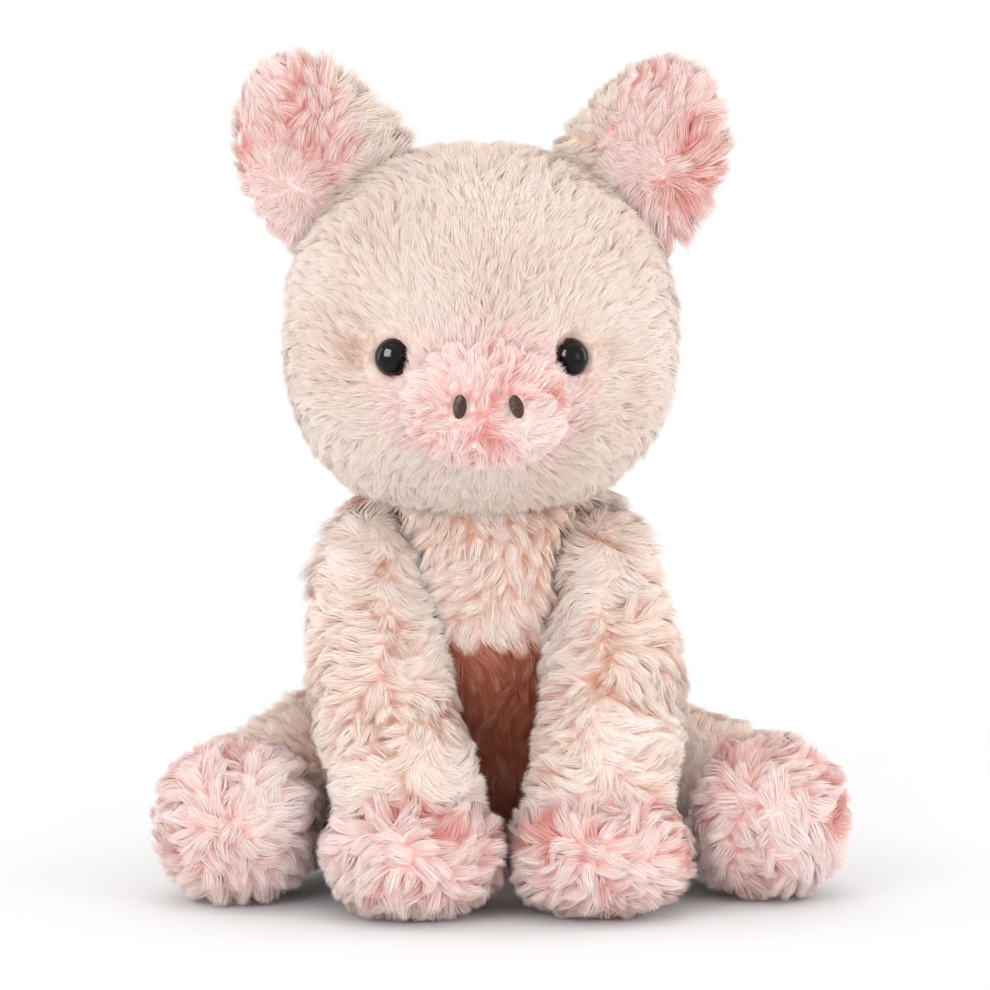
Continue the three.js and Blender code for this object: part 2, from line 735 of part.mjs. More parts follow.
// Half of the bulb's section, from its reed hole over its rim to the middle of its front.
function bulbLine(shrink, rows) {
  const [radius, depth] = [squeakerRadius - shrink, squeakerDepth - shrink];
  const start = Math.acos(reedHole / radius);
  return Array.from({ length: rows + 1 }, (_, row) => {
    const angle = THREE.MathUtils.lerp(start, -Math.PI / 2, row / rows);
    return [row === rows ? 0 : radius * Math.cos(angle), depth * Math.sin(angle)];
  });
}

function squeakerBulb() {
  const outline = [...bulbLine(squeakerWall, 7).reverse(), ...bulbLine(0, 7)];
  return turned(outline, squeakerCentre, backwards);
}

const reedSeat = squeakerDepth + gap;
const reedTop = reedSeat + reedFlangeThickness;

function squeakerReed() {
  return turned([
    [reedBore, reedTop], [reedBore, reedTop - reedLength], [reedRadius, reedTop - reedLength],
    [reedRadius, reedSeat], [reedFlange, reedSeat], [reedFlange, reedTop], [reedBore, reedTop],
  ], squeakerCentre, backwards);
}

function squeakerPocket() {
  const bulb = [[0, squeakerDepth + gap], ...bulbLine(-gap, 7)];
  return join(
    turned(bulb, squeakerCentre, backwards),
    cylinder(reedFlange + gap, 0, reedTop + gap, squeakerCentre, backwards),
  );
}

// Assembly

const toy = new THREE.Group();
toy.name = 'plush_pig';

function addPiece(parent, name, solid, finish) {
  const { numProp, vertProperties, triVerts } = withoutCrumbs(solid).getMesh();
  const positions = new Float32Array((vertProperties.length / numProp) * 3);
  for (let i = 0; i * 3 < positions.length; i++) {
    positions.set(vertProperties.subarray(i * numProp, i * numProp + 3), i * 3);
  }
  const geometry = new THREE.BufferGeometry();
  geometry.setAttribute('position', new THREE.BufferAttribute(positions, 3));
  geometry.setIndex(new THREE.BufferAttribute(triVerts, 1));
  geometry.computeVertexNormals();
  const mesh = new THREE.Mesh(geometry, finish);
  mesh.name = name;
  parent.add(mesh);
}

const bothSides = Object.values(sides);
const head = new THREE.Group();
toy.add(head);

// The head's cover is open where it is sewn to the shoulders.
const shoulders = bodyOutside(seamGap);
const earSlots = bothSides.map(earSlot);
addPiece(head, 'head_cover', cut(
  headOutside(0), headInside(0), shoulders, ...earSlots, ...bothSides.map(eyeHole),
), creamPlush);
addPiece(head, 'head_fill', cut(
  headInside(-gap), shoulders, ...earSlots, ...bothSides.map(eyePocket),
), fibre);
addPiece(head, 'snout', cut(
  snoutOutside(0), headOutside(gap), ...bothSides.map(nostrilHollow),
), pinkPlush);

for (const [name, side] of Object.entries(sides)) {
  addPiece(head, `nostril_${name}`, nostril(side), nostrilThread);
  addPiece(head, `eye_${name}`, eyeStud(side), eyePlastic);
  addPiece(head, `eye_washer_${name}`, eyeWasher(side), washerPlastic);
  const ear = new THREE.Group();
  head.add(ear);
  const { lining, back } = earPieces(side);
  addPiece(ear, `ear_lining_${name}`, lining, pinkPlush);
  addPiece(ear, `ear_back_${name}`, back, creamPlush);
}

// The body's cover has a hollow for each leg's ball and the tail's.
const legHollows = bothSides.flatMap((side) =>
  Object.values(legs).map((leg) => rootBall(leg, side, ballGap)));
const hollows = [...legHollows, ball(tailRoot, tailRadius + seamGap, tailFacets)];
const tailSway = tailRadius * Math.tan(radians(tailWag));
const tailWay = cylinder(tailRadius + seamGap + tailSway, 0, tailReach, tailRoot, backwards);
addPiece(toy, 'body_cover', cut(
  bodyOutside(0), bodyInside(0), ...hollows, tailWay, floor,
), creamPlush);

// The fibre is packed in two wads, in front of the squeaker and behind it.
const wad = cut(bodyInside(-gap), ...hollows, squeakerPocket());
const half = (from, to) => box(vector(-wide, from, -wide), vector(wide, to, wide));
addPiece(toy, 'belly_fill', cut(wad, half(squeakerY - gap / 2, wide)), fibre);
addPiece(toy, 'back_fill', cut(wad, half(-wide, squeakerY + gap / 2)), fibre);
addPiece(toy, 'squeaker_bulb', squeakerBulb(), squeakerPlastic);
addPiece(toy, 'squeaker_reed', squeakerReed(), washerPlastic);
addPiece(toy, 'tail', tailForm(), pinkPlush);

for (const [name, side] of Object.entries(sides)) {
  for (const [place, leg] of Object.entries(legs)) {
    const limb = new THREE.Group();
    toy.add(limb);
    const { cover, hoof, fill } = legPieces(leg, side);
    addPiece(limb, `${place}_leg_${name}`, cover, creamPlush);
    addPiece(limb, `${place}_hoof_${name}`, hoof, pinkPlush);
    addPiece(limb, `${place}_leg_fill_${name}`, fill, fibre);
  }
}

// The toy stands with the middle of its footprint at the origin.
const footprint = new THREE.Box3().setFromObject(toy).getCenter(vector(0, 0, 0));
toy.position.set(-footprint.x, -footprint.y, 0);

export default toy;
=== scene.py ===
"""A plush pig that sits like a dog, in long clumped fur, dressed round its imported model."""
import json
import math

import bmesh
import bpy
import numpy as np
from mathutils import Matrix, Vector
from mathutils.bvhtree import BVHTree
from mathutils.kdtree import KDTree


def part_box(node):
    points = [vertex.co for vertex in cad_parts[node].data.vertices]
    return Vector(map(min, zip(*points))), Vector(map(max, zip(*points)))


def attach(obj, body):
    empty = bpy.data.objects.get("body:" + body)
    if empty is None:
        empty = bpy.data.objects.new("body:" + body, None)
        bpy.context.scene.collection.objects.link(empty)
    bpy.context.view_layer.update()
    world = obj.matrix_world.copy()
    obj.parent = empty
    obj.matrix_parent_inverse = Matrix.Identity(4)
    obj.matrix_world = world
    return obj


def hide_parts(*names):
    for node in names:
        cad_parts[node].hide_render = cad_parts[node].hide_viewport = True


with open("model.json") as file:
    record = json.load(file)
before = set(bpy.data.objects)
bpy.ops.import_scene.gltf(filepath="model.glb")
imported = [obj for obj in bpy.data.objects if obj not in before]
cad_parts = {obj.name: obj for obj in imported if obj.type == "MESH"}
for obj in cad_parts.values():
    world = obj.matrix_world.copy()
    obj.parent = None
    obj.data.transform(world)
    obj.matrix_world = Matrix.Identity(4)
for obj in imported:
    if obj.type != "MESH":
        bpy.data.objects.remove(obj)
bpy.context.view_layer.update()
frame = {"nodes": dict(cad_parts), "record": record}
MM = 0.001

# Camera. The photograph is taken from a little above the floor and from far off, with
# the pig facing it almost straight on.
camera_turn = math.radians(-2.5)
camera_rise = math.radians(6)
camera_distance = 1.4
camera_lens = 172.6
camera_aim = Vector((-0.002, -0.030, 0.1188))
away = Vector((
    math.sin(camera_turn) * math.cos(camera_rise),
    -math.cos(camera_turn) * math.cos(camera_rise),
    math.sin(camera_rise),
))
scene = bpy.context.scene


def placed(name, data):
    """An object of this name in the scene, made of this mesh, lamp or camera."""
    made = bpy.data.objects.new(name, data)
    scene.collection.objects.link(made)
    return made


camera = placed("camera", bpy.data.cameras.new("camera"))
camera.data.lens = camera_lens
camera.data.clip_end = 20
camera.location = camera_aim + away * camera_distance
camera.rotation_euler = away.to_track_quat("Z", "Y").to_euler()
scene.camera = camera
scene.view_settings.view_transform = "Standard"


class Shade:
    """A value in a material. Sums on it add Math nodes, and any other node comes from node()."""

    def __init__(self, tree, socket=None):
        self.tree = tree
        self.socket = socket

    def node(self, kind, inputs=None, stops=None, **settings):
        made = self.tree.nodes.new("ShaderNode" + kind)
        for name, value in settings.items():
            setattr(made, name, value)
        for index, (place, colour) in enumerate(stops or []):
            if index < 2:
                stop = made.color_ramp.elements[index]
                stop.position = place
            else:
                stop = made.color_ramp.elements.new(place)
            stop.color = (*colour, 1)
        for name, value in (inputs or {}).items():
            entry = made.inputs[name]
            if isinstance(value, Shade):
                value.into(entry)
            else:
                entry.default_value = value
        return Shade(self.tree, made.outputs[0] if made.outputs else None)

    def into(self, entry):
        self.tree.links.new(self.socket, entry)

    def __getitem__(self, name):
        return Shade(self.tree, self.socket.node.outputs[name])

    def mix(self, low, high):
        """A colour between two, with this value as the share of the second."""
        return self.node("Mix", {0: self, 6: low, 7: high}, data_type="RGBA")[2]

    def __add__(self, other):
        return self.node("Math", {0: self, 1: other}, operation="ADD")

    def __mul__(self, other):
        return self.node("Math", {0: self, 1: other}, operation="MULTIPLY")

    def __sub__(self, other):
        return self.node("Math", {0: self, 1: other}, operation="SUBTRACT")

    def __rsub__(self, other):
        return self.node("Math", {0: other, 1: self}, operation="SUBTRACT")

    def __pow__(self, other):
        return self.node("Math", {0: self, 1: other}, operation="POWER")

    __radd__ = __add__
    __rmul__ = __mul__


def linear(red, green, blue):
    """A colour written as it looks on a screen, from 0 to 255, as Blender's own numbers."""
    channels = np.array([red, green, blue]) / 255
    return (*(np.where(channels < 0.04045, channels / 12.92, ((channels + 0.055) / 1.055) ** 2.4)), 1.0)


def finish(name, **constants):
    """A new material: its start for nodes, and its Principled shader with what is the same all over."""
    made = bpy.data.materials.new(name)
    made.use_nodes = True
    surface = made.node_tree.nodes["Principled BSDF"]
    for socket, value in constants.items():
        surface.inputs[socket.replace("_", " ")].default_value = value
    return made, Shade(made.node_tree), surface.inputs


# Studio. A white floor and white air, lit by soft boxes in front, at both sides and above,
# so that only a faint soft shadow lies under the toy. The highlight in each eye is a box
# of its own, which lights nothing else, and the low box in front isn't mirrored in them.
floor_mesh = bpy.data.meshes.new("floor")
floor_mesh.from_pydata([(-3, -3, 0), (3, -3, 0), (3, 3, 0), (-3, 3, 0)], [], [(0, 1, 2, 3)])
floor = placed("floor", floor_mesh)
floor_finish = bpy.data.materials.new("white_floor")
floor_finish.use_nodes = True
floor_finish.node_tree.nodes.clear()
ground = Shade(floor_finish.node_tree)
floor_colour = (0.85, 0.86, 0.875, 1)
shadow_reach = 0.16  # metres from the toy at which the floor begins to turn plain white
plain_from = 0.34
rays = ground.node("LightPath")
seen = rays["Is Camera Ray"] + rays["Is Glossy Ray"] + rays["Is Transmission Ray"]
off = ground.node("VectorMath", {0: ground.node("TexCoord")["Object"]}, operation="LENGTH")["Value"]
far = ground.node("MapRange", {0: off, 1: shadow_reach, 2: plain_from}, interpolation_type="SMOOTHSTEP")
matt = ground.node("BsdfDiffuse", {"Color": floor_colour})
white = ground.node("Emission", {"Color": (1, 1, 1, 1), "Strength": 1.0})
ground.node("OutputMaterial", {"Surface": ground.node("MixShader", {0: far * seen, 1: matt, 2: white})})
floor_mesh.materials.append(floor_finish)

world = bpy.data.worlds.new("white_air")
world.use_nodes = True
world.node_tree.nodes.clear()
scene.world = world
air = Shade(world.node_tree)
rays = air.node("LightPath")
seen = rays["Is Camera Ray"] + rays["Is Glossy Ray"] + rays["Is Transmission Ray"]
air_colour = (1, 0.985, 0.97, 1)
air_level = 0.95
backdrop = air.node("Background", {"Color": (1, 1, 1, 1), "Strength": 1.0})
ambient = air.node("Background", {"Color": air_colour, "Strength": air_level})
air.node("OutputWorld", {"Surface": air.node("MixShader", {0: seen, 1: ambient, 2: backdrop})})

soft_boxes = {  # place in metres, width and height, and power in watts
    "key_box": ((-0.45, -0.77, 0.47), (0.36, 0.36), 1.5),
    "fill_box": ((0.95, -0.85, 0.35), (0.6, 0.8), 2.4),
    "low_box": ((0.0, -0.9, 0.06), (0.9, 0.1), 1.6),
    "left_strip": ((-0.95, 0.25, 0.35), (0.3, 0.9), 1.9),
    "right_strip": ((0.95, 0.25, 0.35), (0.3, 0.9), 1.9),
    "top_box": ((0.0, 0.15, 1.15), (0.9, 0.9), 1.5),
    "eye_light": ((-0.44, -0.42, 0.47), (0.42, 0.46), 12.0),
}
for name, (place, (width, height), power) in soft_boxes.items():
    lamp = bpy.data.lights.new(name, "AREA")
    lamp.shape = "RECTANGLE"
    lamp.size = width
    lamp.size_y = height
    lamp.energy = power
    holder = placed(name, lamp)
    holder.location = place
    holder.rotation_euler = (Vector(place) - camera_aim).to_track_quat("Z", "Y").to_euler()
    holder.visible_diffuse = name != "eye_light"
    holder.visible_glossy = name != "low_box"

# Head: a round plush ball, stuffed firm and sewn shut at the neck. Its short cream pile is
# brushed back from the snout over the face and the crown, and down behind. Here, as on
# every stuffed part, the pile's soft closed surface carries the loose ends of its fibres.
floor_rest = 0.4 * MM  # the fur's lowest height over the floor
forms = {}


def box_of(node):
    """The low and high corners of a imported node's box."""
    return [np.array(corner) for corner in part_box(node)]


def unit(vectors):
    return vectors / np.maximum(np.linalg.norm(vectors, axis=-1, keepdims=True), 1e-12)


def across(vectors, normals):
    """What is left of each vector square to its normal, one long."""
    return unit(vectors - normals * (vectors * normals).sum(-1, keepdims=True))


def eased(values, low, high):
    """0 below low and 1 above high, with a smooth step between."""
    share = np.clip((values - low) / (high - low), 0, 1)
    return share * share * (3 - 2 * share)


def swirl(points, scale, seed):
    """A smooth random number at each point, mostly from -1 to 1, that changes over this scale."""
    random = np.random.default_rng(seed)
    total = np.zeros(len(points))
    waves = 8
    for _ in range(waves):
        way = unit(random.normal(size=3)) * random.uniform(0.6, 1.6) * math.pi / scale
        total += np.sin(points @ way + random.uniform(0, 2 * math.pi))
    return total / math.sqrt(waves)


def turned(vectors, normals, angles):
    """Vectors turned about their normals."""
    return vectors * np.cos(angles)[:, None] + np.cross(normals, vectors) * np.sin(angles)[:, None]


def numbers(items, name, width=3, kind=np.float64):
    """One property of all of a mesh's items as an array."""
    found = np.empty(len(items) * width, kind)
    items.foreach_get(name, found)
    return found.reshape(-1, width) if width > 1 else found


def smooth(mesh):
    mesh.polygons.foreach_set("use_smooth", np.ones(len(mesh.polygons), bool))


def joined(nodes):
    """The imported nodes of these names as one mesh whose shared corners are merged."""
    built = bmesh.new()
    for node in nodes:
        built.from_mesh(frame["nodes"][node].data)
    bmesh.ops.remove_doubles(built, verts=built.verts, dist=0.001 * MM)
    return built


def evened(name, nodes, voxel):
    """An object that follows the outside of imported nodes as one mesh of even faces."""
    built = joined(nodes)
    mesh = bpy.data.meshes.new(f"{name}_packed")
    built.to_mesh(mesh)
    built.free()
    form = placed(name, mesh)
    remesh = form.modifiers.new("remesh", "REMESH")
    remesh.mode = "VOXEL"
    remesh.voxel_size = voxel
    even = bpy.data.meshes.new_from_object(form.evaluated_get(bpy.context.evaluated_depsgraph_get()))
    form.modifiers.clear()
    form.data = even
    even.name = name
    return form


def outermost(built):
    """Deletes all but the largest connected shell."""
    left = set(built.verts)
    shells = []
    while left:
        shell = [left.pop()]
        for vert in shell:
            for edge in vert.link_edges:
                other = edge.other_vert(vert)
                if other in left:
                    left.remove(other)
                    shell.append(other)
        shells.append(shell)
    shells.sort(key=len)
    for shell in shells[:-1]:
        bmesh.ops.delete(built, geom=shell, context="VERTS")


def relaxed(points, edges, rounds):
    """Each point moved halfway to the middle of its neighbours, again and again."""
    ends = np.concatenate([edges, edges[:, ::-1]])
    count = np.bincount(ends[:, 0], minlength=len(points))[:, None]
    for _ in range(rounds):
        total = np.stack([
            np.bincount(ends[:, 0], weights=points[ends[:, 1], axis], minlength=len(points))
            for axis in range(points.shape[1])
        ], axis=1)
        points = (points + total / count) / 2
    return points


def tree_of(node):
    """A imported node's surface, for finding what lies nearest to a point."""
    mesh = frame["nodes"][node].data
    corners = [vert.co for vert in mesh.vertices]
    return BVHTree.FromPolygons(corners, [face.vertices for face in mesh.polygons])


closest_tufts = 0.8  # of the tufts' spacing, how close the middles of two may stand
tufts_compared = 6  # when the one that a point belongs to is looked for


def scattered(points, spacing, random):
    """A share of these points, in random order, that keep about this far from each other."""
    chosen = []
    taken = {}
    closest = (closest_tufts * spacing) ** 2
    for index in random.permutation(len(points)):
        x, y, z = points[index]
        cell = (int(x // spacing), int(y // spacing), int(z // spacing))
        near = (
            spot
            for a in (-1, 0, 1) for b in (-1, 0, 1) for c in (-1, 0, 1)
            for spot in taken.get((cell[0] + a, cell[1] + b, cell[2] + c), ())
        )
        if all((x - u) ** 2 + (y - v) ** 2 + (z - w) ** 2 > closest for u, v, w in near):
            taken.setdefault(cell, []).append((x, y, z))
            chosen.append(index)
    return np.array(chosen)


def tufted(points, ways, tuft_points, stretch):
    """The nearest tuft to each point, and how far the point is from the border with the next."""
    tree = KDTree(len(tuft_points))
    for index, centre in enumerate(tuft_points):
        tree.insert(centre, index)
    tree.balance()
    near = np.array([[found[1] for found in tree.find_n(point, tufts_compared)] for point in points])
    away = tuft_points[near] - points[:, None]
    along = (away * ways[:, None]).sum(-1)
    size = np.sqrt(np.maximum((away ** 2).sum(-1) - along ** 2 * (1 - 1 / stretch ** 2), 0))
    order = np.argsort(size, axis=1)
    first, second = (np.take_along_axis(size, order[:, i:i + 1], 1)[:, 0] for i in (0, 1))
    return near[np.arange(len(near)), order[:, 0]], second - first


smoothing_rounds = 14
between_width = 0.45  # of the tufts' spacing, how wide the pile parts between two of them
parting_width = 0.14  # how near to the zeros of a random field the long partings keep
thinnest_share = 0.3  # of a wall's thickness, the most that a face of it is set in


def plush(name, body, nodes, fills, coat, flow, look, pink_nodes=(), seed=1):
    """Makes the closed surface of one stuffed part's pile, tufted and parted as it is worn.

    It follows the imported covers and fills. look holds the tufts' spacing and stretch, how
    deep the pile parts between them, how much of it is tangled, and over what distance its
    longer partings wander.
    """
    form = evened(f"{name}_pile", [*nodes, *fills], look.get("voxel", 1.5) * MM)
    made = form.data
    built = bmesh.new()
    built.from_mesh(made)
    outermost(built)
    built.to_mesh(made)
    built.free()
    edges = numbers(made.edges, "vertices", 2, np.int32)
    points = relaxed(numbers(made.vertices, "co"), edges, smoothing_rounds)
    made.vertices.foreach_set("co", points.ravel())
    made.update()
    normals = unit(relaxed(numbers(made.vertex_normals, "vector"), edges, 3))
    tree = BVHTree.FromPolygons([tuple(p) for p in points], [tuple(f.vertices) for f in made.polygons])
    start = points - normals * 0.3 * MM
    inside = np.array([tree.ray_cast(spot, -normal)[3] or 1.0 for spot, normal in zip(start, normals)])

    random = np.random.default_rng(seed)
    scale, calm = look["scale"] * MM, look["calm"]
    ways = across(flow(points, normals), normals)
    ways = across(turned(ways, normals, look["swirl"] * swirl(points, scale, seed)), normals)
    chosen = scattered(points, look["tuft"] * MM, random)
    which, border = tufted(points, ways, points[chosen], look["stretch"])
    between = 1 - eased(border, 0, between_width * look["tuft"] * MM)
    tangled = eased(swirl(points, 1.6 * scale, seed + 1), calm - 0.5, calm + 0.5)
    parting = np.exp(-(swirl(points, scale, seed + 2) / parting_width) ** 2)
    parting *= eased(swirl(points, 1.2 * scale, seed + 3), calm - 0.3, calm + 0.6)
    level = np.clip(1 - between * (0.25 + 0.75 * tangled) * look["cut"] - parting * look["part"], 0, 1)
    level = relaxed(level[:, None], edges, 1)[:, 0]
    inset = look["inset"] * MM + look["depth"] * MM * (1 - level)
    inset = np.minimum(inset, thinnest_share * inside)[:, None]
    moved = points - inset * normals
    moved[:, 2] = np.maximum(moved[:, 2], 2 * floor_rest)
    made.vertices.foreach_set("co", moved.ravel())
    made.attributes.new("level", "FLOAT", "POINT").data.foreach_set("value", level)
    smooth(made)
    made.update()

    made.materials.append(coat["pile"])
    if pink_nodes:
        made.materials.append(coat["pink_pile"])
        trees = [(tree_of(node), node in pink_nodes) for node in nodes]
        for face in made.polygons:
            near = min((tree.find_nearest(face.center)[3], pink) for tree, pink in trees)
            face.material_index = int(near[1])
    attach(form, body)
    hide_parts(*nodes)
    forms[name] = {
        "object": form, "normals": normals, "ways": ways, "level": level, "tufts": points[chosen],
        "tuft_normals": normals[chosen], "tuft_ways": ways[chosen], "which": which,
    }


def roots_on(form, per_mm2, random):
    """Random roots on a pile's surface: their places, normals, ways, levels, tufts and materials."""
    mesh = form["object"].data
    mesh.calc_loop_triangles()
    corners = numbers(mesh.loop_triangles, "vertices", 3, np.int32)
    points = numbers(mesh.vertices, "co")
    wears = numbers(mesh.loop_triangles, "material_index", 1, np.int32)
    a, b, c = (points[corners[:, i]] for i in range(3))
    area = np.linalg.norm(np.cross(b - a, c - a), axis=1) / 2
    count = int(area.sum() / MM ** 2 * per_mm2)
    face = random.choice(len(area), count, p=area / area.sum())
    share = random.dirichlet((1, 1, 1), count)
    own = corners[face]

    def level(values):
        return (values[own] * (share if values.ndim == 1 else share[:, :, None])).sum(1)

    return {
        "root": level(points), "normal": unit(level(form["normals"])),
        "shade": unit(level(numbers(mesh.vertex_normals, "vector"))),
        "way": unit(level(form["ways"])), "level": level(form["level"]),
        "which": form["which"][own[:, 0]], "wears": wears[face],
    }


def pressed(points, normals, nodes, reach=1.8 * MM):
    """Which roots a neighbouring part lies close over."""
    trees = [tree_of(node) for node in nodes]
    start = points - normals * MM
    return np.array([
        any(tree.ray_cast(spot, normal, reach)[0] for tree in trees)
        for spot, normal in zip(start, normals)
    ], bool)


PROBE = Vector((0.31, 0.17, 0.93)).normalized()  # a way that is square to no face


def way_out(points, node):
    """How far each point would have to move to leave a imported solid. It is 0 for one outside."""
    tree = tree_of(node)
    moves = np.zeros((len(points), 3))
    low, high = box_of(node)
    for index in np.nonzero(((points > low) & (points < high)).all(1))[0]:
        _, normal, _, _ = tree.ray_cast(points[index], PROBE)
        if normal is not None and normal.dot(PROBE) > 0:
            moves[index] = tree.find_nearest(points[index])[0] - Vector(points[index])
    return moves


STEPS = np.array([0.0, 0.5, 1.0])  # along a strand, from root to tip


def strand_paths(root, normal, way, length, lean):
    """Points along strands that rise from their roots and bend over."""
    along = STEPS[None, :, None]
    rise = (along - 0.25 * along ** 2) * np.cos(lean)[:, None, None]
    reach = (0.45 * along + 0.55 * along ** 2) * np.sin(lean)[:, None, None]
    return root[:, None] + length[:, None, None] * (rise * normal[:, None] + reach * way[:, None])


strand_taper = 3.3  # higher keeps a strand wide for longer before its tip
strand_flatness = 0.55  # its thickness as a share of its width
softness = 0.86  # the share of the pile's normal in a strand's top, as light passes through fur
soft_below = 0.5  # and in its underside
sheet_margin = 0.03  # round the sheet of the coat's colours that the strands lie on
sheet_spread = 0.006  # by which a strand's two sides lie apart on it


def strands(name, steps_at, paths, normal, shade, tone, width):
    """One mesh of closed, tapered, three-sided strands along these paths.

    The flat top and the ridged underside share no corners, so that each has normals of its own.
    """
    count, steps, _ = paths.shape
    ahead = unit(np.gradient(paths, axis=1))
    side = unit(np.cross(ahead, normal[:, None]))
    top = np.cross(side, ahead)
    wide = (width[:, None] * (1 - steps_at ** strand_taper))[:, :, None] / 2
    thick = wide * strand_flatness
    left, right = paths + side * wide + top * thick, paths - side * wide + top * thick
    rings = np.stack([left, right, left, right, paths - top * thick], axis=2)
    tips = [paths[:, -1:], paths[:, -1:]]
    points = np.concatenate([rings[:, :-1].reshape(count, -1, 3), *tips], axis=1)
    own = np.stack([
        top + 0.3 * side, top - 0.3 * side, side - 0.4 * top, -side - 0.4 * top, -top], axis=2)
    tips = [top[:, -1:], -top[:, -1:]]
    own = unit(np.concatenate([own[:, :-1].reshape(count, -1, 3), *tips], axis=1))
    size = points.shape[1]
    ring_size = rings.shape[2]
    tip_top, tip_below = size - 2, size - 1
    faces = [(2, 3, 4)]
    for ring in range(steps - 1):
        first = ring * ring_size
        for a, b, tip in ((0, 1, tip_top), (3, 4, tip_below), (4, 2, tip_below)):
            a, b = first + a, first + b
            if ring < steps - 2:
                faces += [(a, a + ring_size, b + ring_size), (a, b + ring_size, b)]
            else:
                faces.append((a, tip, b))
    index = (np.arange(count)[:, None, None] * size + np.array(faces)[None]).ravel()

    mesh = bpy.data.meshes.new(name)
    mesh.vertices.add(count * size)
    mesh.vertices.foreach_set("co", points.ravel())
    mesh.loops.add(len(index))
    mesh.loops.foreach_set("vertex_index", index.astype(np.int32))
    mesh.polygons.add(len(index) // 3)
    mesh.polygons.foreach_set("loop_start", np.arange(0, len(index), 3, dtype=np.int32))
    smooth(mesh)
    sheet = 1 - 2 * sheet_margin
    along = np.concatenate([np.repeat(steps_at[:-1], ring_size), [1.0, 1.0]]) * sheet + sheet_margin
    aside = np.append(np.tile([-1.0, 1.0, -1.0, 1.0, 0.0], steps - 1), [0.0, 0.0]) * sheet_spread
    u = sheet_margin + sheet * tone[:, None] + aside[None]
    spots = np.stack([u, np.broadcast_to(along, u.shape)], axis=2).reshape(-1, 2)[index]
    layer = mesh.uv_layers.new(name="OFBake")
    layer.uv.foreach_set("vector", spots.astype(np.float32).ravel())
    mesh.update()
    mesh.validate()
    against = np.minimum((own * shade[:, None]).sum(-1, keepdims=True), 0)
    below = np.append(np.tile([0, 0, 1, 1, 1], steps - 1), [0, 1])
    share = np.where(below, soft_below, softness)[None, :, None]
    soft = unit((1 - share) * own + share * (shade[:, None] - 2 * against * own))
    mesh.normals_split_custom_set_from_vertices(soft.reshape(-1, 3).tolist())
    return placed(name, mesh)


MOST_FACES = 198000  # in one piece
stray = 0.25 * MM  # how far the tips stray from where their tuft leads them
palest_tone = 0.06  # of the coat's colours, from 0 for the palest to 1 for the deepest


def fur(name, part, body, coat, look, keep=None, trim=None, tint_and_shade=None, under=(), seed=1):
    """Grows the fibres' loose ends on one part's pile, as fine tapered strands.

    look holds the strands' density, length, width and lean, and how far they are drawn into
    tufts. keep picks the roots that have fur, trim gives each root's share of the length,
    and the shading argument how much deeper its colour is, as a tint or as painted shade.
    The fur keeps out of the nodes in under.
    """
    random = np.random.default_rng(seed)
    form = forms[part]
    here = roots_on(form, look["density"], random)
    kept = np.ones(len(here["root"]), bool) if keep is None else keep(here["root"], here["wears"])
    kept[kept] = ~pressed(here["root"][kept], here["normal"][kept], under)
    for other in under:
        kept[kept] = ~way_out(here["root"][kept], other).any(1)
    here = {key: value[kept] for key, value in here.items()}
    root, normal, which = here["root"], here["normal"], here["which"]
    count = len(root)

    tufts = len(form["tufts"])
    tuft_turn = look["mess"] * random.normal(size=tufts)
    tuft_length = look["length"] * MM * random.uniform(0.8, 1.15, tufts)
    tuft_lean = np.radians(look["lean"] + random.normal(0, look["lean_mess"], tufts))
    own_turn = random.normal(0, 0.2, count)
    way = across(turned(here["way"], normal, tuft_turn[which] + own_turn), normal)
    length = tuft_length[which] * random.uniform(0.75, 1.15, count) * (0.7 + 0.3 * here["level"])
    lean = np.clip(tuft_lean[which] + np.radians(random.normal(0, 5, count)), 0.3, 1.45)
    short = np.ones(count) if trim is None else trim(root)
    paths = strand_paths(root, normal, way, length * short, lean)
    tuft_way = across(turned(form["tuft_ways"], form["tuft_normals"], tuft_turn), form["tuft_normals"])
    middle = strand_paths(
        form["tufts"][which], form["tuft_normals"][which], tuft_way[which],
        tuft_length[which] * short, tuft_lean[which])
    paths += (look["clump"] * STEPS ** 1.4)[None, :, None] * (middle - paths)
    paths += random.normal(0, stray, (count, 3))[:, None] * STEPS[None, :, None] ** 2
    for other in under:
        for step in (1, 2):
            paths[:, step] += way_out(paths[:, step], other)
    height = paths[:, :, 2]
    paths[:, :, 2] = np.where(height < floor_rest, floor_rest + (floor_rest - height) * 0.08, height)

    tone = palest_tone + 0.04 * swirl(root, 20 * MM, seed + 5) + random.normal(0, 0.02, count)
    # Painted shade: strands rooted where the pile is set in, between tufts and along partings, are
    # deeper in colour.
    tone += look["dye"] * (1 - here["level"]) ** 1.3
    tone = np.clip(tone if tint_and_shade is None else tone + tint_and_shade(root), 0.0, 1.0)
    x, y = (root[:, axis] - root[:, axis].mean() for axis in (0, 1))
    order = np.argsort(np.arctan2(y, x), kind="stable")
    fine = random.random(count)[order] < look["fine"]
    coarse_set, fine_set = ("", order[~fine], [0, 1, 2], 10), ("_fine", order[fine], [0, 2], 4)
    for kind, kin, stops, faces in (coarse_set, fine_set):
        pieces = math.ceil(len(kin) * faces / MOST_FACES)
        for piece, chosen in enumerate(np.array_split(kin, max(1, pieces))):
            label = f"{name}{kind}_{piece + 1}" if pieces > 1 else name + kind
            width = look["width"] * MM * np.sqrt(short[chosen])
            made = strands(
                label, STEPS[stops], paths[chosen][:, stops], normal[chosen],
                here["shade"][chosen], tone[chosen], width)
            made.data.materials.append(coat["fur"])
            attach(made, body)


warm_root = 0.8  # the share of the warm colour in a strand's root, beside the crease's


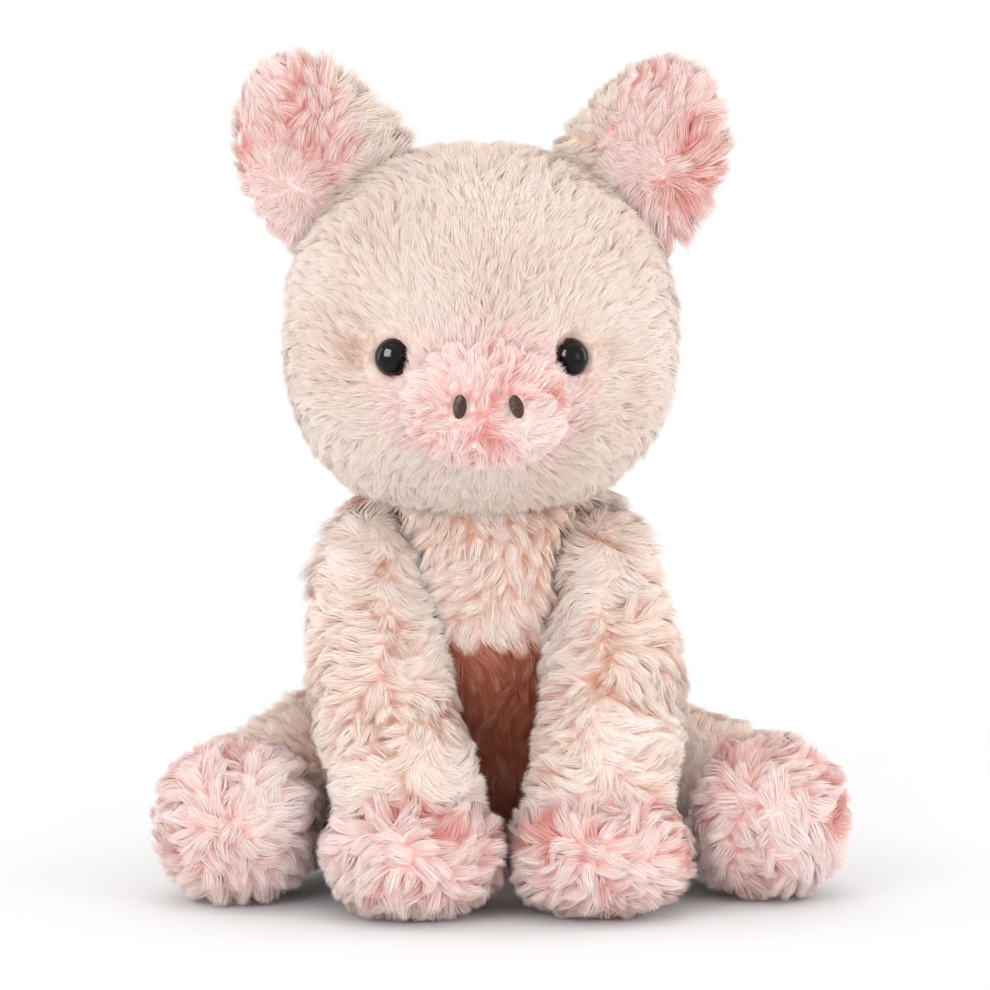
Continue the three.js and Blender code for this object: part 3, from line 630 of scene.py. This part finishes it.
def coat_finish(name, slot, pale, warm, crease, deep):
    """Fur and the pile under it: pale where brushed smooth, with painted shade where it parts and at the
    roots.
    """
    # The crease and deep colours are those of the painted shade.
    shades = [(0.0, pale[:3]), (1.0, deep[:3]), (0.35, warm[:3]), (0.7, crease[:3])]
    hair, start, surface = finish(f"{name}_fur", Roughness=0.9, Specular_IOR_Level=0.0)
    where = start.node("SeparateXYZ", {0: start.node("UVMap", uv_map="OFBake")})
    tone, along = where["X"], where["Y"]
    # Painted shade: each strand deepens toward its root.
    rooted = tuple(warm_root * a + (1 - warm_root) * b for a, b in zip(warm, crease))
    tips = tone.node("ValToRGB", {0: tone}, stops=shades)
    (along ** 0.6).mix(tone.mix(rooted, deep), tips).into(surface["Base Color"])
    cloth, start, surface = finish(f"{name}_pile", Roughness=0.95, Specular_IOR_Level=0.0)
    level = start.node("Attribute", attribute_name="level")["Fac"]
    spot = start.node("TexCoord")["Object"]
    grain = start.node("TexNoise", {"Vector": spot, "Scale": 900.0})["Fac"]
    # Painted shade: the pile is deeper in colour where it is set in, with a random grain over it.
    parted = 0.72 - level * 0.6 + grain * 0.2
    parted.node("ValToRGB", {0: parted}, stops=shades).into(surface["Base Color"])
    return {"fur": hair, "pile": cloth, "slot": slot}


cream = coat_finish(
    "cream", "cream_plush", pale=linear(246, 237, 229), warm=linear(240, 224, 213),
    crease=linear(224, 186, 164), deep=linear(180, 124, 102))
snout_low, snout_high = box_of("snout")
snout_middle = (snout_low + snout_high) / 2
head_low, head_high = box_of("head_cover")
crown = np.array([(head_low[0] + head_high[0]) / 2, -0.05, head_high[2]])


def eye_place(side):
    """An eye's domed front and the way that it looks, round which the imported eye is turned."""
    points = numbers(frame["nodes"][f"eye_{side}"].data.vertices, "co")
    middle = points.mean(0)
    spreads, ways = np.linalg.eigh(np.cov((points - middle).T))
    odd = np.abs(spreads - np.median(spreads)).argmax()
    looks = ways[:, odd] * -np.sign(ways[1, odd])
    heights = (points - middle) @ looks
    return middle + looks * heights.max(), looks


eyes = {side: eye_place(side) for side in ("left", "right")}


def head_flow(points, normals):
    """Back from the snout over the face and the crown, and then down from the crown."""
    from_snout = unit(points - snout_middle - np.array([0, 0.01, 0]))
    from_crown = unit((points - crown) * np.array([1, 0.3, 1]))
    behind = eased(points[:, 1], -0.05, -0.01)[:, None]
    return behind * from_crown + (1 - behind) * from_snout


def round_eyes(points):
    """Fur round the eyes is cropped, and it is longest on the crown and the left cheek."""
    share = 1 + 0.4 * eased(points[:, 2], 0.206, 0.216)
    cheek = eased(points[:, 2], 0.12, 0.14) * eased(points[:, 2], 0.2, 0.18)
    share += 0.35 * eased(points[:, 0], 0.036, 0.046) * cheek
    for front, _ in eyes.values():
        off = np.linalg.norm(points - front, axis=1)
        share *= np.clip((off - 4 * MM) / (9 * MM), 0.25, 1)
    return share


def blush(points):
    """The pale pink fibres of the snout's seam allowance, among the head's round its border."""
    off = (points - snout_middle) / (snout_high - snout_low) * 2
    reach = np.hypot(off[:, 0] / 1.28, off[:, 2] / 1.16)
    mixed = 0.1 * swirl(points, 6 * MM, 12) + 0.16 * swirl(points, 0.8 * MM, 13)
    return (reach + mixed < 1) & (points[:, 1] < snout_middle[1] + 0.012)


def on_face(points, wears, pinker=False):
    """Leaves the eyes free of the head's fur, and parts the cream from the pink."""
    free = blush(points) == pinker
    for front, looks in eyes.values():
        level = points - front
        aside = np.linalg.norm(level - (level @ looks)[:, None] * looks, axis=1)
        free &= (aside > 5.6 * MM) | (np.linalg.norm(level, axis=1) > 15 * MM)
    return free


def shade_beside_eyes(points):
    """Painted shade: the fur is deeper, to a tan, at the outer side of each eye."""
    tan = np.zeros(len(points))
    for front, _ in eyes.values():
        away = math.copysign(7.5 * MM, front[0] - snout_middle[0])
        off = np.linalg.norm((points - front - np.array([away, 0, 0]))[:, [0, 2]], axis=1)
        tan = np.maximum(tan, 0.3 * eased(off, 6.5 * MM, 2 * MM) * eased(points[:, 1], -0.03, -0.04))
    return tan


head_look = {
    "tuft": 3.6, "stretch": 1.7, "inset": 0.8, "depth": 1.5, "cut": 0.8, "part": 0.5, "calm": 0.1,
    "swirl": 0.35, "scale": 20, "dye": 0.5,
    "density": 4.3, "fine": 0.72, "length": 5.6, "width": 0.24, "lean": 63, "lean_mess": 5,
    "mess": 0.26, "clump": 0.45,
}
plush("head", "head", ["head_cover"], ["head_fill"], cream, head_flow, head_look, seed=10)
fur("head_fur", "head", "head", cream, head_look,
    keep=on_face, trim=round_eyes, tint_and_shade=shade_beside_eyes, under=["snout", "body_cover"], seed=11)

# Snout: a small stuffed pad of pink plush, sewn on the face. Its pile stands out from the
# middle in short tangled tufts, clear of the two stitched nostrils.
pink = coat_finish(
    "pink", "pink_plush", pale=linear(252, 243, 240), warm=linear(250, 229, 224),
    crease=linear(236, 160, 150), deep=linear(198, 92, 84))
cream["pink_pile"] = pink["pile"]
fur("snout_seam_fur", "head", "head", pink, head_look,
    keep=lambda points, wears: on_face(points, wears, pinker=True), trim=round_eyes,
    tint_and_shade=lambda points: 0.18 + 0 * points[:, 0], under=["snout"], seed=12)


def snout_flow(points, normals):
    return points - snout_middle - np.array([0, -0.02, -0.004])


snout_look = {
    "tuft": 3.8, "stretch": 1.4, "inset": 0.5, "depth": 1.3, "cut": 1.0, "part": 0.8, "calm": -0.2,
    "swirl": 0.5, "scale": 11, "dye": 0.62,
    "density": 5.0, "fine": 0.7, "length": 5.2, "width": 0.24, "lean": 58, "lean_mess": 7,
    "mess": 0.45, "clump": 0.5,
}
bare_round_nostril = 2.6 * MM
nostrils = {}
for side in ("left", "right"):
    points = numbers(frame["nodes"][f"nostril_{side}"].data.vertices, "co")
    middle = (points.max(0) + points.min(0)) / 2
    ways = np.linalg.eigh(np.cov((points - middle).T))[1]
    outward, _, tall = ways.T
    outward, tall = outward * -np.sign(outward[1]), tall * np.sign(tall[2])
    nostrils[side] = (middle, tall, outward, points)


def off_nostrils(points):
    """The distance from each point to the nearest nostril's long middle line."""
    nearest = np.full(len(points), 1.0)
    for middle, tall, _, _ in nostrils.values():
        along = np.clip((points - middle) @ tall, -1.6 * MM, 1.6 * MM)
        nearest = np.minimum(nearest, np.linalg.norm(points - middle - along[:, None] * tall, axis=1))
    return nearest


def short_at_nostrils(points):
    clear = np.clip((off_nostrils(points) - 1 * MM) / (6 * MM), 0.25, 1)
    return clear * (1 - 0.3 * snout_edge(points))


def snout_edge(points):
    """Where the pink pad's border is sewn down, and cream fibres lie between the pink ones."""
    off = (points - snout_middle) / (snout_high - snout_low) * 2
    return eased(np.linalg.norm(off[:, [0, 2]], axis=1), 0.7, 1.05)


def pink_there(points, wears):
    mixed = snout_edge(points) + 0.5 * swirl(points, 4 * MM, 23) < 1.3
    return mixed & (off_nostrils(points) > bare_round_nostril)


def cream_there(points, wears):
    return ~pink_there(points, wears) & (off_nostrils(points) > bare_round_nostril)


plush("snout", "head", ["snout"], [], pink, snout_flow, snout_look, seed=20)
fur("snout_fur", "snout", "head", pink, snout_look,
    keep=pink_there, trim=short_at_nostrils, tint_and_shade=lambda points: 0.05 - 0.03 * snout_edge(points),
    under=["head_cover"], seed=21)
fur("snout_edge_fur", "snout", "head", cream, snout_look,
    keep=cream_there, trim=short_at_nostrils, under=["head_cover"], seed=21)

# Nostrils: two ovals of dark brown satin stitch, whose threads lie side by side across a
# low padding of the same thread, and go through the snout's plush at both edges.
thread_finish, start, surface = finish("nostril_thread", Roughness=0.5, Specular_IOR_Level=0.35)
spot = start.node("TexCoord")["Object"]
# Painted highlight: lighter glints of the satin are painted into the thread's colour.
glint = start.node("TexNoise", {"Vector": spot, "Scale": 2200.0, "Detail": 3.0})["Fac"]
light = start.node("MapRange", {0: glint, 1: 0.52, 2: 0.72})
light.mix(linear(64, 42, 34), linear(122, 92, 72)).into(surface["Base Color"])
ply = start.node(
    "TexWave", {"Vector": spot, "Scale": 900.0, "Distortion": 1.5}, bands_direction="DIAGONAL")["Fac"]
start.node("Bump", {"Height": ply, "Strength": 0.4, "Distance": 0.0002}).into(surface["Normal"])
stitches = 15
thread_thickness = 0.52 * MM
stitch_slant = 0.12
nostril_rise = 0.7 * MM  # how far the stitching stands proud of the snout's backing
for side, (middle, tall, outward, points) in nostrils.items():
    across_it = np.cross(outward, tall)
    reach = {name: np.abs((points - middle) @ way).max() for name, way in
             (("tall", tall), ("wide", across_it), ("out", outward))}
    heart = middle + nostril_rise * outward
    to_place = Matrix((
        across_it * reach["wide"], tall * reach["tall"], outward * reach["out"])).transposed().to_4x4()
    to_place.translation = heart
    built = bmesh.new()
    bmesh.ops.create_uvsphere(built, u_segments=32, v_segments=16, radius=0.93, matrix=to_place)
    thread = bpy.data.curves.new(f"nostril_thread_{side}", "CURVE")
    thread.dimensions = "3D"
    thread.bevel_depth = thread_thickness / 2
    thread.bevel_resolution = 1
    thread.use_fill_caps = True
    for height in np.linspace(-0.93, 0.93, stitches):
        half = math.sqrt(1 - height ** 2)
        run = thread.splines.new("POLY")
        steps = np.linspace(-1, 1, 9)
        run.points.add(len(steps) - 1)
        for point, step in zip(run.points, steps):
            a, b = step * half * 0.97, height + stitch_slant * step * half
            local = Vector((a, b, math.sqrt(max(0.0, 1 - a * a - min(b * b, 1))) + 0.02))
            point.co = (*(to_place @ local), 1)
    laid = bpy.data.objects.new("laid", thread)
    built.from_mesh(bpy.data.meshes.new_from_object(laid))
    bpy.data.objects.remove(laid)
    mesh = bpy.data.meshes.new(f"nostril_stitch_{side}")
    built.to_mesh(mesh)
    built.free()
    smooth(mesh)
    mesh.materials.append(thread_finish)
    stitch = placed(mesh.name, mesh)
    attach(stitch, "head")
    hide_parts(f"nostril_{side}")

# Eyes: glossy black plastic safety eyes with a dark red-brown rim. Their ribbed stems pass
# through the head, where washers lock them.
eye_finish, start, surface = finish("eye_gloss", Roughness=0.07, Specular_IOR_Level=0.22)
across_eye = start.node("SeparateXYZ", {0: start.node("UVMap", uv_map="OFBake")})["Y"]
rim = start.node("MapRange", {0: across_eye, 1: 0.215, 2: 0.27}, interpolation_type="SMOOTHSTEP")
rim.mix(linear(10, 7, 8), linear(66, 27, 23)).into(surface["Base Color"])
eye_profile = [  # radius and height in millimetres, from the crown of the dome to the stem's end
    (0.0, 0.0), (1.2, -0.12), (2.4, -0.52), (3.5, -1.18), (4.4, -2.1), (5.1, -3.2), (5.55, -4.2),
    (5.8, -5.0), (5.8, -5.5), (5.4, -5.9), (1.6, -6.1), (1.3, -7.0), (1.6, -7.4), (1.3, -7.8),
    (1.6, -8.4), (1.3, -8.8), (1.6, -9.4), (1.3, -9.8), (1.5, -10.4), (0.8, -12.0), (0.0, -12.2),
]
eye_turns = 48


def lathe(name, profile, turns, place, looks):
    """A form turned from a profile of radii and heights, about the way that it looks."""
    turn = Vector(looks).to_track_quat("Z", "Y").to_matrix()
    points = []
    faces = []
    spots = []
    for radius, height in profile:
        for step in range(turns):
            angle = 2 * math.pi * step / turns
            local = Vector((radius * math.cos(angle), radius * math.sin(angle), height)) * MM
            points.append(Vector(place) + turn @ local)
    rows = len(profile)
    for row in range(rows - 1):
        for step in range(turns):
            a, b = row * turns + step, row * turns + (step + 1) % turns
            faces.append((a, a + turns, b + turns, b))
            u, wide = step / turns, 1 / turns
            low, high = row / (rows - 1), (row + 1) / (rows - 1)
            spots += [(u, low), (u, high), (u + wide, high), (u + wide, low)]
    mesh = bpy.data.meshes.new(name)
    mesh.from_pydata(points, [], faces)
    layer = mesh.uv_layers.new(name="OFBake")
    layer.uv.foreach_set("vector", np.array(spots, np.float32).ravel())
    built = bmesh.new()
    built.from_mesh(mesh)
    bmesh.ops.remove_doubles(built, verts=built.verts, dist=0.001 * MM)
    built.to_mesh(mesh)
    built.free()
    smooth(mesh)
    return placed(name, mesh)


for side, (front, looks) in eyes.items():
    eye = lathe(f"eye_dome_{side}", eye_profile, eye_turns, front, looks)
    eye.data.materials.append(eye_finish)
    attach(eye, "head")
    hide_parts(f"eye_{side}")

# Eye washers: round white plastic locks, pressed over the stems inside the head. They are
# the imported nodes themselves, in matt moulded plastic with a fine grain.
washer_finish, start, surface = finish("washer_matt", Specular_IOR_Level=0.4)
spot = start.node("TexCoord")["Object"]
cloud = start.node("TexNoise", {"Vector": spot, "Scale": 260.0, "Detail": 4.0})["Fac"]
grain = start.node("TexNoise", {"Vector": spot, "Scale": 3500.0})["Fac"]
cloud.mix(linear(236, 234, 226), linear(226, 223, 213)).into(surface["Base Color"])
(0.42 + 0.2 * cloud).into(surface["Roughness"])
start.node("Bump", {"Height": grain, "Strength": 0.25, "Distance": 0.0001}).into(surface["Normal"])


def wearing(nodes, made):
    """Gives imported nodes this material."""
    for name in nodes:
        node = frame["nodes"][name]
        if not node.material_slots:
            node.data.materials.append(made)
        for slot in node.material_slots:
            slot.material = made


wearing(("eye_washer_left", "eye_washer_right"), washer_finish)

# Ears: two panels sewn round the edge and turned out, cream on the back and pink on the
# cupped lining, whose loose tufts stand out all round like the edge of a leaf.
ear_look = {
    "tuft": 4.6, "stretch": 1.5, "inset": 0.3, "depth": 1.8, "cut": 1.0, "part": 0.75, "calm": -0.1,
    "swirl": 0.45, "scale": 12, "dye": 0.62,
    "density": 4.5, "fine": 0.72, "length": 6.4, "width": 0.25, "lean": 59, "lean_mess": 6,
    "mess": 0.35, "clump": 0.5,
}
ear_back_look = {**ear_look, "dye": 0.15}
for index, side in enumerate(("left", "right")):
    low, high = box_of(f"ear_lining_{side}")
    lining_middle = (low + high) / 2
    back_low, back_high = box_of(f"ear_back_{side}")
    lining_from_root = lining_middle + np.array([0, 0, -0.006])

    def ear_flow(points, normals, middle=lining_from_root):
        return points - middle

    def windward(points, low=back_low, high=back_high, away=math.copysign(1, lining_middle[0])):
        """The pile stands fuller on the side that it is brushed to, and at the outer lower edge."""
        share = np.clip(2 * (points - low) / (high - low) - 1, -1, 1)
        low_outside = np.maximum(away * share[:, 0], 0) * np.maximum(-share[:, 2], 0)
        return 1 + 0.35 * share[:, 0] - 0.3 * away * share[:, 2] + 0.6 * low_outside

    def cup_shade(points, middle=lining_middle):
        """The lining is a little deeper in colour all over, and painted shade deepens its cupped middle.
        """
        return 0.07 + 0.13 * eased(np.linalg.norm(points - middle, axis=1), 20 * MM, 6 * MM)

    ear, back, lining = f"ear_{side}", f"ear_back_{side}", f"ear_lining_{side}"
    plush(ear, ear, [back, lining], [], cream, ear_flow, ear_look, [lining], seed=30 + index)
    fur(f"ear_lining_fur_{side}", ear, ear, pink, ear_look,
        keep=lambda points, wears: wears == 1, trim=windward, tint_and_shade=cup_shade,
        under=["head_cover"], seed=32 + index)
    fur(f"ear_back_fur_{side}", ear, ear, cream, ear_back_look,
        keep=lambda points, wears: wears == 0, trim=windward, under=["head_cover"],
        seed=34 + index)

# Body: a stuffed pear of longer and warmer pile than the head's, which swirls on the chest
# and parts over the backing.
peach = coat_finish(
    "peach", "cream_plush", pale=linear(253, 247, 242), warm=linear(252, 236, 226),
    crease=linear(232, 182, 155), deep=linear(176, 94, 70))
peach["pink_pile"] = pink["pile"]
body_middle = -0.004  # from side to side
DOWN = np.array([0.0, 0.0, -1.0])


def body_flow(points, normals):
    """Down, and out to both sides of the chest's middle."""
    return DOWN + 12 * (points - np.array([body_middle, 0, 0])) * np.array([1, 0, 0])


body_look = {
    "tuft": 5.5, "stretch": 1.7, "inset": 0.5, "depth": 1.9, "cut": 0.9, "part": 1.0, "calm": -0.1,
    "swirl": 0.8, "scale": 17, "dye": 0.74,
    "density": 3.6, "fine": 0.72, "length": 6.4, "width": 0.26, "lean": 64, "lean_mess": 5,
    "mess": 0.3, "clump": 0.45,
}
plush("body", "body", ["body_cover"], ["belly_fill", "back_fill"], peach, body_flow, body_look,
      seed=40)


def at_corners(points):
    """The pile is fullest at the corners of the neck."""
    aside = np.abs(points[:, 0] - body_middle)
    return 1 + 0.8 * eased(points[:, 2], 0.098, 0.106) * eased(aside, 0.022, 0.036)


def shade_under_chin(points):
    """Painted shade under the chin: the fur is deeper in colour there."""
    return 0.07 * eased(points[:, 2], 0.1, 0.113)


def shade_between_legs(points):
    """Painted shade on the low belly between the front legs: the fur there is deeper in colour."""
    aside = eased(np.abs(points[:, 0] + 0.002), 0.028, 0.018)
    height = eased(points[:, 2], 0.079, 0.073) * eased(points[:, 2], 0.012, 0.024)
    return 0.8 * aside * height * eased(points[:, 1], 0.0, -0.01)


# Painted shade under the chin and between the front legs, and the neck's corners a little paler.
def body_shade(points):
    return shade_under_chin(points) + shade_between_legs(points) - 0.25 * (at_corners(points) - 1)


# The painted shade between the front legs deepens the pile's colour there too.
pile = forms["body"]["object"].data
level_with_shade = forms["body"]["level"] - 1.8 * shade_between_legs(numbers(pile.vertices, "co"))
pile.attributes["level"].data.foreach_set("value", level_with_shade)
neighbours = [
    "head_cover", "front_leg_left", "front_leg_right", "hind_leg_left", "hind_leg_right", "tail"]
fur("body_fur", "body", "body", peach, body_look,
    trim=at_corners, tint_and_shade=body_shade, under=neighbours, seed=41)

# Legs: four stuffed tubes with pink hooves sewn on. Their cream pile is tangled down the
# front and brushed to both sides, and the hooves' stands out in tufts like a star.
whorl_spacing = 15 * MM
sideways = 38  # how strongly a leg's pile is brushed to its sides
BACK = np.array([0.0, 0.7, 0.0])


def shoulders(points):
    """The pile is fullest over the outer shoulders, and over the right hip."""
    x, y, z = points.T
    outer = eased(np.abs(x - body_middle), 0.03, 0.042)
    hip = eased(z, 0.044, 0.054) * eased(x, -0.045, -0.055) * eased(y, -0.03, -0.02)
    return 1 + outer * (0.25 * eased(z, 0.06, 0.08) + 0.6 * eased(z, 0.1, 0.108)) + 0.8 * hip


def from_whorls(points, seed):
    """The ways out from the nearest of the small whorls that a hoof's tufts stand round."""
    random = np.random.default_rng(int(abs(seed) * 1e6))
    centres = points[scattered(points, whorl_spacing, random)]
    offs = points[:, None] - centres[None]
    near = np.exp(-((offs ** 2).sum(-1) / (0.5 * whorl_spacing) ** 2))
    total = (near[:, :, None] * offs).sum(1) / (near.sum(1)[:, None] + 1e-9)
    return total / (np.linalg.norm(total, axis=1, keepdims=True) + 1.5 * MM)


hoof_look = {
    **body_look, "density": 4.5, "length": 6.9, "lean": 56, "lean_mess": 7, "mess": 0.42,
    "clump": 0.52, "dye": 0.6,
}
leg_look = {
    **body_look, "tuft": 4.8, "stretch": 1.5, "calm": -0.4, "swirl": 0.95, "density": 3.8,
    "dye": 0.58,
}
limbs = [(end, side) for end in ("front", "hind") for side in ("left", "right")]
for index, (end, side) in enumerate(limbs):
    limb, pad = f"{end}_leg_{side}", f"{end}_hoof_{side}"
    low, high = box_of(pad)
    hoof = (low + high) / 2
    joints = frame["record"]["behaviour"]["joints"]
    hip = np.array(next(joint["pos_m"] for joint in joints if joint["child"] == limb))
    run = unit(hoof - hip)
    pole = hoof + np.array([0, -0.022, 0.006])

    def leg_flow(points, normals, hip=hip, run=run, hoof=hoof, pole=pole, size=high - low):
        """Down the leg, to both its sides and back, and out from a point on the hoof's front."""
        level = points - hip
        aside = level - (level @ run)[:, None] * run
        aside[:, 1] *= 0.3
        down = unit(run * np.array([1, 0.2, 1]))
        on_leg = down + sideways * aside + BACK
        at_top = eased((points - hoof) @ run, -4 * MM, -13 * MM)[:, None]
        on_hoof = 0.8 * unit(points - pole) + 0.8 * from_whorls(points, pole[0]) + 1.6 * at_top * run
        share = eased(np.linalg.norm((points - hoof) / size, axis=1), 0.62, 0.52)[:, None]
        return share * on_hoof + (1 - share) * unit(on_leg)

    plush(limb, limb, [limb, pad], [f"{end}_leg_fill_{side}"], peach, leg_flow, leg_look, [pad],
          seed=50 + index)
    fur(f"{limb}_fur", limb, limb, peach, leg_look,
        keep=lambda points, wears: wears == 0, trim=shoulders, tint_and_shade=shade_under_chin,
        under=["body_cover"], seed=54 + index)
    fur(f"{end}_hoof_fur_{side}", limb, limb, pink, hoof_look,
        keep=lambda points, wears: wears == 1, seed=60 + index)

# Stuffing: wads of loose white polyester fibre, pushed in through the last seam of each
# part. They are lumpy, and a little slack inside the covers.
fill_finish, start, surface = finish("fibre_fill", Roughness=0.95, Specular_IOR_Level=0.1)
spot = start.node("TexCoord")["Object"]
haze = start.node("TexNoise", {"Vector": spot, "Scale": 120.0, "Detail": 6.0, "Distortion": 2.0})["Fac"]
wisp = start.node("TexNoise", {"Vector": spot, "Scale": 900.0, "Detail": 4.0, "Distortion": 3.0})["Fac"]
haze.mix(linear(250, 249, 246), linear(226, 223, 216)).into(surface["Base Color"])
start.node("Bump", {"Height": wisp, "Strength": 0.7, "Distance": 0.001}).into(surface["Normal"])
wads = [("head", "head"), ("belly", "body"), ("back", "body")]
wads += [(f"{end}_leg", f"{end}_leg_{side}") for end, side in limbs]
wad_voxel = 2.5 * MM
slack = 0.4  # millimetres between the wad and its cover, and the lumps' depth
lump_depth = 1.3
for index, (part, body) in enumerate(wads):
    ending = body[body.rindex("_"):] if part.endswith("_leg") else ""
    packed, name = f"{part}_fill{ending}", f"{part}_stuffing{ending}"
    wad = evened(name, [packed], wad_voxel)
    made = wad.data
    edges = numbers(made.edges, "vertices", 2, np.int32)
    points = relaxed(numbers(made.vertices, "co"), edges, 3)
    made.vertices.foreach_set("co", points.ravel())
    made.update()
    normals = unit(relaxed(numbers(made.vertex_normals, "vector"), edges, 2))
    lumps = eased(swirl(points, 14 * MM, 80 + index), -1.2, 1.2)
    lumps += 0.4 * eased(swirl(points, 5 * MM, 90 + index), -1, 1)
    points = points - (slack + lump_depth * lumps)[:, None] * MM * normals
    made.vertices.foreach_set("co", points.ravel())
    smooth(made)
    made.materials.clear()
    made.materials.append(fill_finish)
    made.update()
    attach(wad, body)
    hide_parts(packed)

# Squeaker: a soft milky plastic bulb between the two wads of the body, with a small white
# reed pressed into its hole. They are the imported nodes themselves.
bulb_finish, start, surface = finish("squeaker_milky", Specular_IOR_Level=0.45, Transmission_Weight=0.15)
spot = start.node("TexCoord")["Object"]
cloud = start.node("TexNoise", {"Vector": spot, "Scale": 90.0, "Detail": 5.0})["Fac"]
scuff = start.node("TexNoise", {"Vector": spot, "Scale": 1200.0, "Detail": 3.0})["Fac"]
cloud.mix(linear(228, 233, 231), linear(208, 216, 213)).into(surface["Base Color"])
(0.3 + 0.25 * scuff).into(surface["Roughness"])
start.node("Bump", {"Height": scuff, "Strength": 0.2, "Distance": 0.0002}).into(surface["Normal"])
wearing(("squeaker_bulb",), bulb_finish)
wearing(("squeaker_reed",), washer_finish)

# Tail: a thin stuffed tube of pink plush with short fur. It is sewn shut in a curl, and its
# root is caught in the body's back seam.
tail_look = {
    "tuft": 3.5, "stretch": 1.5, "inset": 0.3, "depth": 0.8, "cut": 0.8, "part": 0.4, "calm": -0.3,
    "swirl": 0.5, "scale": 10, "voxel": 1.0, "dye": 0.7,
    "density": 4.0, "fine": 0.6, "length": 4.5, "width": 0.28, "lean": 60, "lean_mess": 9,
    "mess": 0.4, "clump": 0.5,
}


def tail_flow(points, normals):
    return DOWN + 0 * points


plush("tail", "tail", ["tail"], [], pink, tail_flow, tail_look, seed=70)
fur("tail_fur", "tail", "tail", pink, tail_look, under=["body_cover"], seed=71)
